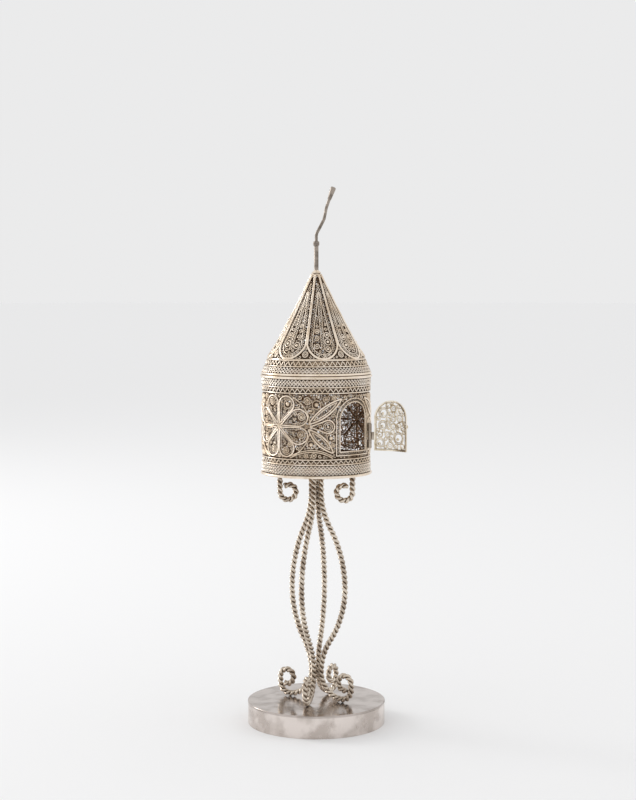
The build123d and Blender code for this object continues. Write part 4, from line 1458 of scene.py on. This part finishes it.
@dataclass
class Door:
    """The little door: a plain rim filled with rings, coils and grains."""

    hinge_x: float = 7.355
    hinge_y: float = -16.997
    opening: float = 103.0
    half_width: float = 5.8
    bottom: float = 89.75
    top: float = 105.85
    rise: float = 5.825
    rim: float = 0.55
    reach: float = 18.36
    filler_cells: Point = (0.45, 0.95)
    filler_seed: int = 23
    coil_seed: int = 5
    ring_wire: Gauge = Gauge(0.22, 0.24)
    inner_wire: Gauge = Gauge(0.15, 0.18)
    coil_wire: Gauge = Gauge(0.12, 0.15, sides=5)
    edge_wire: Gauge = Gauge(0.13, 0.17)
    rings: tuple[tuple[float, float, float, bool], ...] = (
        (2.9, 101.9, 1.7, True), (2.7, 97.9, 1.55, True), (1.85, 92.3, 1.55, True),
        (6.5, 103.2, 1.2, False), (9.0, 100.2, 1.3, False), (6.3, 99.9, 1.0, False),
        (6.5, 97.6, 1.05, False), (4.3, 95.0, 1.0, False), (8.4, 93.9, 2.0, True),
        (5.2, 91.6, 1.2, False), (10.0, 97.2, 0.9, True),
    )

    def _outline(self) -> np.ndarray:
        """Flat outline of the opening inside the rim.

        Returns:
            Points of the closed outline.
        """
        half, low, high = self.half_width - self.rim, self.bottom + self.rim, self.top - self.rim
        crown = arc_through((half, high - self.rise), (0.0, high), (-half, high - self.rise))
        return spaced(np.vstack((np.array(((-half, low), (half, low))), crown)), 0.25, True)

    def _cells(self) -> list[tuple[float, float, float, bool]]:
        """Places of the rings, first the large ones and then what fits between them.

        Returns:
            Middle and radius of each ring, and whether it holds a grain.
        """
        cells = [(self.half_width - across, *ring) for across, *ring in self.rings]
        rng = np.random.default_rng(self.filler_seed)
        right = rng.uniform(-self.half_width, self.half_width, 5000)
        up = rng.uniform(self.bottom, self.top, 5000)
        half, low = self.half_width - self.rim, self.bottom + self.rim
        crown = self.top - self.rim - self.rise + self.rise * np.sqrt(np.clip(1 - (right / half) ** 2, 0, 1))
        places = np.column_stack((right, up))[(np.abs(right) < half) & (up > low) & (up < crown)]
        walls = [self._outline()]
        for x, y, radius, _ in cells:
            walls += [arc((x, y), radius * share, 0.0, FULL_TURN) for share in (0.25, 0.6, 1.0)]
        for x, y, radius in packed_rounds(places, np.vstack(walls), self.filler_cells, 0.02, 24):
            cells.append((x, y, radius, radius > 0.6))
        return cells

    def build(self) -> None:
        """Make the wirework of the door and dress its rim, knob and knuckle."""
        surface = TurnedSurface((0.0, 200.0), (self.reach, self.reach))
        work = SurfaceWork("door_filigree", surface=surface)
        dice = random.Random(self.coil_seed)
        for x, y, radius, grain in self._cells():
            spot = (math.degrees(math.asin(x / self.reach)), y)
            work.wrapped(spot, circle(radius - 0.12), self.reach, self.ring_wire, True)
            if grain and radius > 1.2:
                work.wrapped(spot, circle(radius - 0.6), self.reach, self.inner_wire, True)
            if grain:
                aside = dice.uniform(0.1, 0.24) * radius
                across = math.degrees(aside / self.reach)
                work.grain(spot[0] + across, y - aside, 0.0, min(0.5, radius * 0.36))
            elif radius > 0.75:
                coil = spiral(radius - 0.3, 0.5, dice.uniform(0.0, 6.0), dice.choice((-1.0, 1.0)))
                work.wrapped(spot, coil, self.reach, self.coil_wire)
        work.pressed(0.0, self._outline(), self.edge_wire, True)
        panel = work.piece(DOOR_SILVER, Carrier.DOOR, "door_silver", ("door_panel",))
        pivot = Matrix.Translation(Vector((self.hinge_x, self.hinge_y, 0.0)) * MM)
        swing = pivot @ Matrix.Rotation(math.radians(self.opening), 4, "Z") @ pivot.inverted()
        panel.data.transform(swing)
        for node in ("door_rim", "door_knob"):
            dress(node, DOOR_SILVER)
        for node in ("door_knuckle", "jamb_knuckle_lower", "jamb_knuckle_upper", "hinge_pin"):
            dress(node, HINGE_SILVER)


@dataclass
class Roof:
    """The pointed roof: a braided skirt, a zigzag row and eight petals on an openwork cone."""

    foot_radius: float = 16.1
    top_radius: float = 1.6
    foot: float = 118.95
    top: float = 146.2
    dip: float = 0.35
    skirt_heights: tuple[float, ...] = (114.0, 114.63, 116.8, 118.7)
    skirt_radii: tuple[float, ...] = (17.45, 17.45, 16.55, 15.85)
    petals: int = 8
    first_petal: float = 10.0
    gap_angle: float = 0.5
    lobe: float = 123.55
    tip: float = 145.9
    depth: float = 0.7
    seat: float = 0.1
    second_inset: float = 1.62
    zigzag_wire: Gauge = Gauge(0.19, 0.2, -0.1, 5)
    net_wire: Gauge = Gauge(0.25, 0.15, -0.5, 4)
    frame_widths: Point = (0.38, 0.22)
    frame_wire: Gauge = Gauge(0.38, 0.34, 0.0, 8)
    second_wire: Gauge = Gauge(0.16, 0.24, -0.08, 8)
    crimped_wire: Gauge = Gauge(0.14, 0.22, -0.12, 5)
    spine_wire: Gauge = Gauge(0.13, 0.2, -0.05, 5)
    spine_crimp: Gauge = Gauge(0.14, 0.2, -0.05, 5)
    upper_crimp: Gauge = Gauge(0.13, 0.2, -0.18, 5)
    coil_lift: float = -0.16
    band_lift: float = -0.05
    strip_lift: float = -0.45
    lining_lift: float = -0.36
    band_swings: int = 84
    zigzag_swings: int = 56
    net_cells: Point = (0.17, 0.8)
    corner_cells: Point = (0.17, 0.7)
    coil_cells: Point = (0.26, 1.1)
    net_seed: int = 29
    place_seed: int = 40
    coil_seed: int = 60
    eyelet_seed: int = 3
    eyelet_reach: float = 15.0
    eyelet_coil_reach: float = 15.2
    eyelet_coil_lift: float = -0.12
    eyelet_level: float = 120.6
    eyelet_rings: tuple[tuple[float, Gauge], ...] = ((0.86, Gauge(0.17, 0.2)), (0.5, Gauge(0.12, 0.2)))
    eyelet_coils: tuple[Round, ...] = (
        (-1.7, 119.75, 0.5), (1.7, 119.75, 0.5), (0.0, 122.25, 0.5),
        (-2.75, 119.55, 0.36), (2.75, 119.55, 0.36),
    )
    foot_wire_level: float = 119.1
    foot_wire: Gauge = Gauge(0.15, 0.18, -0.1)
    top_wire_levels: tuple[float, ...] = (145.25, 145.7, 146.05)
    top_wire: Gauge = Gauge(0.2, 0.22, -0.12)

    def _cone_radius(self, height: float) -> float:
        """Radius of the outside of the cone at a height.

        Args:
            height: Level on the cone.

        Returns:
            The radius there.
        """
        share = (height - self.foot) / (self.top - self.foot)
        straight = self.foot_radius + (self.top_radius - self.foot_radius) * share
        return straight - 4 * self.dip * share * (1 - share)

    def cone(self) -> TurnedSurface:
        """The outside of the roof, set in by half the depth of the petal wires.

        Returns:
            The surface.
        """
        heights = np.linspace(self.foot, self.top, 60)
        radii = [self._cone_radius(height) - self.depth / 2 for height in heights]
        return TurnedSurface((*self.skirt_heights, *heights), (*self.skirt_radii, *radii))

    def _petal_half(self) -> float:
        """Half width of a petal as a share of the radius."""
        return math.sin(math.radians(180 / self.petals - self.gap_angle))

    def _petal_outline(self) -> np.ndarray:
        """Flat outline of one petal.

        Returns:
            Points of the closed outline.
        """
        half = self._petal_half()
        levels = (self.lobe, (self.lobe + self.tip) / 2, self.tip)
        lobe, side, tip = (((self._cone_radius(level) - self.seat) * half, level) for level in levels)
        right = arc_through(lobe, side, tip)
        foot = arc_through((-lobe[0], lobe[1]), (0.0, self.foot + 0.02), lobe)
        left = np.column_stack((-right[::-1, 0], right[::-1, 1]))
        return np.vstack((foot[:-1], right, left[:-1]))

    def build(self) -> None:
        """Make the skirt, the zigzag row, the petals and the eyelets."""
        surface = self.cone()
        low, high = node_span("roof_ribbed_band")
        band = SurfaceWork("roof_ribbed_band_wires", surface=surface)
        band.braid(low, high, 2, self.band_swings, self.band_lift)
        band.piece(BANDING, Carrier.TOWER, "roof_silver", ("roof_ribbed_band",))
        row_low, row_high = node_span("roof_zigzag")
        row = SurfaceWork("roof_zigzag_wires", surface=surface)
        row.round_row(row_low + 0.05, row_high - 0.05, self.zigzag_swings, self.zigzag_wire)
        row.piece(ROOFING, Carrier.TOWER, "roof_silver", ("roof_zigzag",))
        for node in ("roof_edge_wire", "skirt_ring_wire", "cone_ring_wire"):
            dress(node, ROOFING)
        # Painted shade: a dark strip behind the zigzag row of the roof.
        strips = SurfaceWork("roof_shade_strips", surface=surface)
        strips.strip(row_low - 0.1, self.foot + 0.3, self.strip_lift)
        strips.piece(SHADE_BACKING, Carrier.TOWER, "roof_silver", ())
        lining = SurfaceWork("roof_band_lining", surface=surface)
        lining.strip(low, high + 0.1, self.lining_lift)
        lining.piece(BANDING, Carrier.TOWER, "roof_silver", ())
        outline = self._petal_outline()
        for number in range(self.petals):
            self._petal(surface, outline, number)
        self._eyelets(surface)
        self._net(surface, outline)

    def _net(self, surface: TurnedSurface, outline: np.ndarray) -> None:
        """Lay a net of small rings behind the petals and between their feet, coloured dark as painted shade
        in the gaps.

        Args:
            surface: Outside of the roof.
            outline: Flat outline of a petal.
        """
        rng = np.random.default_rng(self.net_seed)
        across, level = rng.uniform(-5.8, 5.8, 5000), rng.uniform(self.foot + 0.1, self.tip - 1.0, 5000)
        places = np.column_stack((across, level))
        half = np.interp(level, *self._half_widths(outline))
        behind = places[np.abs(across) < half - 0.2]
        cells = packed_rounds(behind, spaced(outline, 0.25, True), self.net_cells, 0.15, 260)
        room = surface.radius(level) * math.sin(math.pi / self.petals)
        between = places[(level < self.lobe + 0.6) & (np.abs(across) < room - half + 0.4)]
        edge = np.column_stack((np.linspace(-6.0, 6.0, 60), np.full(60, self.foot - 0.1)))
        corners = packed_rounds(between, edge, self.corner_cells, 0.0, 60)
        work = SurfaceWork("roof_shade_net", surface=surface)
        for number in range(2 * self.petals):
            bearing = self.first_petal + number * 180 / self.petals
            for x, y, radius in corners if number % 2 else cells:
                work.pressed(bearing, np.array((x, y)) + net_ring(radius), self.net_wire, True)
        work.piece(SHADE_NET, Carrier.TOWER, "roof_silver", ())

    def _petal(self, surface: TurnedSurface, outline: np.ndarray, number: int) -> None:
        """Make one petal with its frame, crimped lines, spine and coils.

        Args:
            surface: Outside of the roof.
            outline: Flat outline of the petal.
            number: Number of the petal, from 0.
        """
        node = "roof_petal_" + str(number + 1)
        bearing = self.first_petal + number * 360 / self.petals
        work = SurfaceWork(node + "_wires", surface=surface)
        turn, height = surface.facing(bearing, spaced(inset(outline, 0.2), 0.32, True))
        width = np.interp(height, (self.lobe - 1.5, self.lobe + 8.0), self.frame_widths)
        work.drawn(turn, height, replace(self.frame_wire, across=width), True)
        second = inset(outline, self.second_inset)
        work.pressed(bearing, spaced(second, 0.32, True), self.second_wire, True)
        spine = np.column_stack((np.zeros(60), np.linspace(self.lobe - 1.6, self.tip - 6.0, 60)))
        for way in (-1.0, 1.0):
            work.pressed(bearing, spine + np.array((0.46 * way, 0.0)), self.spine_wire)
        work.pressed(bearing, zigzag(spine, 0.3, 0.8), self.spine_crimp)
        work.piece(ROOFING, Carrier.TOWER, "roof_silver", (node,))
        filling = SurfaceWork(node + "_filling", surface=surface)
        filling.pressed(bearing, zigzag(inset(outline, 1.12), 0.26, 0.8, True), self.crimped_wire, True)
        self._upper_rows(filling, bearing)
        aside = np.array((0.5, 0.0))
        walls = np.vstack((spaced(second, 0.2, True), spine, spine + aside, spine - aside))
        rng = np.random.default_rng(self.place_seed + number)
        across, level = rng.uniform(-5.2, 5.2, 3000), rng.uniform(self.foot, self.lobe + 6.4, 3000)
        side = np.interp(level, *self._half_widths(outline)) - self.second_inset
        places = np.column_stack((across, level))[np.abs(across) < side]
        dice = random.Random(self.coil_seed + number)
        for x, y, radius in packed_rounds(places, walls, self.coil_cells, 0.16, 80):
            reach = float(surface.radius(y))
            kind = Cell.RING_AND_GRAIN if radius > 0.55 and dice.random() < 0.4 else Cell.SPIRAL
            spot = (bearing + math.degrees(math.asin(x / reach)), y)
            filling.fill_cell(spot, radius, reach, kind, dice, self.coil_lift)
        filling.piece(ROOFING, Carrier.TOWER, "roof_silver", ())

    def _upper_rows(self, filling: SurfaceWork, bearing: float) -> None:
        """Add the crimped rows beside the upper spine of a petal.

        Args:
            filling: Wirework of the petal.
            bearing: Bearing of the middle of the petal.
        """
        levels = np.linspace(self.lobe + 6.0, self.tip - 3.0, 90)
        half = self._petal_half()
        reach = np.array([(self._cone_radius(level) - self.depth) * half - 2.1 for level in levels])
        for row in range(2):
            across = reach - 0.85 * row
            for way in (-1.0, 1.0):
                line = np.column_stack((way * across, levels))[across > 0.8]
                if len(line) > 8:
                    filling.pressed(bearing, zigzag(line, 0.24, 0.76), self.upper_crimp)

    def _half_widths(self, outline: np.ndarray) -> Track:
        """Half width of a petal by level.

        Args:
            outline: Flat outline of the petal.

        Returns:
            Levels in rising order and the half widths there.
        """
        right = outline[outline[:, 0] >= 0]
        order = np.argsort(right[:, 1])
        return right[order, 1], right[order, 0]

    def _eyelets(self, surface: TurnedSurface) -> None:
        """Make the ringed grains and small coils between the feet of the petals.

        Args:
            surface: Outside of the roof.
        """
        work = SurfaceWork("roof_eyelet_wires", surface=surface)
        dice = random.Random(self.eyelet_seed)
        for number in range(self.petals):
            middle = self.first_petal + (number + 0.5) * 360 / self.petals
            for reach, wire in self.eyelet_rings:
                work.wrapped((middle, self.eyelet_level), circle(reach), self.eyelet_reach, wire, True)
            work.grain(middle, self.eyelet_level, 0.0, 0.26)
            for across, level, radius in self.eyelet_coils:
                spot = (middle + math.degrees(across / self.eyelet_coil_reach), level)
                lift = self.eyelet_coil_lift
                work.fill_cell(spot, radius, self.eyelet_coil_reach, Cell.SPIRAL, dice, lift)
        work.round_wire(self.foot_wire_level, self.foot_wire)
        for level in self.top_wire_levels:
            work.round_wire(level, self.top_wire)
        work.piece(ROOFING, Carrier.TOWER, "roof_silver", ("roof_eyelets", "roof_shell"))


@dataclass
class Finial:
    """The bent wire on the tip of the roof with its cap, sleeve, collar and thickened end."""

    cap: str = "apex_cap"
    dark_nodes: tuple[str, ...] = ("finial_sleeve", "finial_collar", "finial_wire", "finial_tip")

    def dress(self) -> None:
        """Give the pieces their finishes."""
        dress(self.cap, ROOFING)
        for node in self.dark_nodes:
            dress(node, DARK_WIRE)


@dataclass
class Studio:
    """Pale floor, soft light from the left and the camera."""

    azimuth: float = -44.0
    distance: float = 536.25
    camera_height: float = 142.8
    pitch: float = 4.0
    sensor: float = 36.0
    lens: float = 74.88
    aside: float = 0.55
    backdrop: float = 0.83
    ceiling: float = 0.86
    camera_side: float = 0.92
    fill: float = 0.935
    sky: Colour = (1.0, 1.0, 1.003)
    key: float = 3.3
    key_size: Point = (0.25, 0.7)
    key_right: float = -0.88
    key_back: float = -0.4
    key_rise: float = 0.33
    floor_rings: tuple[float, ...] = (0.1, 0.3, 0.8, 2.0, 5.0, 12.0)
    floor_sides: int = 96
    floor_level: float = -0.00002
    floor_shades: tuple[Colour, Colour] = ((0.866, 0.866, 0.868), (0.876, 0.876, 0.878))

    def _right(self) -> Vector:
        """Direction to the right of the camera."""
        turn = math.radians(self.azimuth)
        return Vector((math.cos(turn), math.sin(turn), 0.0))

    def _back(self) -> Vector:
        """Level direction from the object to the camera."""
        turn = math.radians(self.azimuth)
        return Vector((math.sin(turn), -math.cos(turn), 0.0))

    def camera(self) -> None:
        """Set up the camera."""
        data = bpy.data.cameras.new("camera")
        data.sensor_width = self.sensor
        data.lens = self.lens
        data.clip_start = 0.01
        data.clip_end = 50.0
        eye = bpy.data.objects.new("camera", data)
        up = Vector((0.0, 0.0, self.camera_height))
        eye.location = (self._back() * self.distance + self._right() * self.aside + up) * MM
        eye.rotation_euler = (math.radians(90.0 - self.pitch), 0.0, math.radians(self.azimuth))
        bpy.context.scene.collection.objects.link(eye)
        bpy.context.scene.camera = eye

    def _floor_material(self) -> bpy.types.Material:
        """Dull pale material of the floor with faint clouds.

        Returns:
            The material.
        """
        material = bpy.data.materials.new("pale_floor")
        material.use_nodes = True
        tree = material.node_tree
        clouds = add_node(tree, "TexNoise", {"Scale": 3.0}).outputs["Fac"]
        colour = blend(tree, clouds, (*self.floor_shades[0], 1.0), self.floor_shades[1])
        dull = {"Roughness": 0.9, "Specular IOR Level": 0.0, "Base Color": colour}
        feed(tree, tree.nodes["Principled BSDF"], dull)
        return material

    def floor(self) -> None:
        """Lay the pale floor."""
        sides = self.floor_sides
        turn = np.linspace(0.0, FULL_TURN, sides, endpoint=False)
        points = [np.zeros((1, 3))]
        for reach in self.floor_rings:
            level = np.full(sides, self.floor_level)
            points.append(np.column_stack((reach * np.cos(turn), reach * np.sin(turn), level)))
        rings = np.arange(sides * len(self.floor_rings)).reshape(-1, sides) + 1
        faces = [(0, 1 + step, 1 + (step + 1) % sides) for step in range(sides)]
        faces += ring_faces(rings[:-1], rings[1:])[:, (0, 3, 2, 1)].tolist()
        mesh = bpy.data.meshes.new("floor")
        mesh.from_pydata(np.vstack(points).tolist(), [], faces)
        mesh.materials.append(self._floor_material())
        floor = bpy.data.objects.new("floor", mesh)
        bpy.context.scene.collection.objects.link(floor)

    def light(self) -> None:
        """Set up the pale surroundings and the soft light from the left."""
        world = bpy.data.worlds.new("surroundings")
        bpy.context.scene.world = world
        world.use_nodes = True
        tree = world.node_tree
        rays = tree.nodes.new("ShaderNodeLightPath").outputs
        seen = rays["Is Camera Ray"]
        for kind in ("Is Glossy Ray", "Is Transmission Ray"):
            seen = add_node(tree, "Math", {0: seen, 1: rays[kind]}, operation="MAXIMUM").outputs["Value"]
        way = tree.nodes.new("ShaderNodeTexCoord").outputs["Generated"]
        up = Vector((0.0, 0.0, 1.0))
        ceiling = self._slope(tree, way, up, (0.22, 0.75), (self.backdrop, self.ceiling))
        shade = self._slope(tree, way, self._back(), (0.1, 0.9), (1.0, self.camera_side))
        room = add_node(tree, "Math", {0: ceiling, 1: shade}, operation="MULTIPLY").outputs["Value"]
        level = add_node(tree, "Mix", {"Factor": seen, "A": self.fill, "B": room}).outputs["Result"]
        feed(tree, tree.nodes["Background"], {"Color": (*self.sky, 1.0), "Strength": level})
        panel = bpy.data.lights.new("key_light", "AREA")
        panel.shape = "RECTANGLE"
        panel.size, panel.size_y = self.key_size
        panel.energy = self.key
        lamp = bpy.data.objects.new("key_light", panel)
        toward = self._right() * self.key_right + self._back() * self.key_back + up * self.key_rise
        toward.normalize()
        lamp.location = toward
        lamp.rotation_euler = toward.to_track_quat("Z", "Y").to_euler()
        lamp.visible_camera = False
        bpy.context.scene.collection.objects.link(lamp)
        bpy.context.scene.view_settings.view_transform = "Standard"

    def _slope(
        self,
        tree: bpy.types.NodeTree,
        way: bpy.types.NodeSocket,
        toward: Vector,
        span: Point,
        levels: Point,
    ) -> bpy.types.NodeSocket:
        """Brightness that changes smoothly towards one side of the room.

        Args:
            tree: Nodes of the surroundings.
            way: Direction that is looked at.
            toward: Side of the room.
            span: Where the change starts and ends, as cosines of the angle to that side.
            levels: Brightness before and after the change.

        Returns:
            The brightness.
        """
        share = add_node(tree, "VectorMath", {0: way, 1: tuple(toward)}, operation="DOT_PRODUCT")
        return ramp(tree, share.outputs["Value"], span, levels)

    def build(self) -> None:
        """Set up the floor, the light and the camera."""
        self.floor()
        self.light()
        self.camera()


def main() -> None:
    """Build the tower and its surroundings."""
    logging.basicConfig(level=logging.INFO, format="%(name)s %(message)s")
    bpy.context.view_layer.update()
    surface = TurnedSurface((0.0, 200.0), (DRUM_RADIUS, DRUM_RADIUS))
    low, high = node_span("panel_foot_wire")[1], node_span("panel_top_wire")[0]
    middle = (low + high) / 2
    rosettes = tuple(
        RosettePanel(name, bearing, middle, surface)
        for name, bearing in (("rosette_left", -86.0), ("rosette_back", 180.0), ("rosette_right", 86.0))
    )
    leaves = tuple(
        LeafPanel(name, bearing, side, middle, surface)
        for name, bearing, side in (
            ("leaf_pair_front_left", -39.0, 1.0),
            ("leaf_pair_front_right", 39.0, -1.0),
            ("leaf_pair_back_left", -133.0, -1.0),
            ("leaf_pair_back_right", 133.0, 1.0),
        )
    )
    RoundBase().dress()
    for leg in (
        TwistedLeg("leg_right", -61.0, 9.7, -76.0, -54.0),
        TwistedLeg("leg_back", 28.0, 8.6, 14.0, None),
        TwistedLeg("leg_left", 116.0, 8.4, 110.0, 134.0),
        TwistedLeg("leg_front", 194.0, 8.9, 212.0, None),
    ):
        leg.build()
    Drum(surface, rosettes, leaves, Doorway(surface)).build()
    Door().build()
    Roof().build()
    Finial().dress()
    Studio().build()


if __name__ == "__main__":
    main()
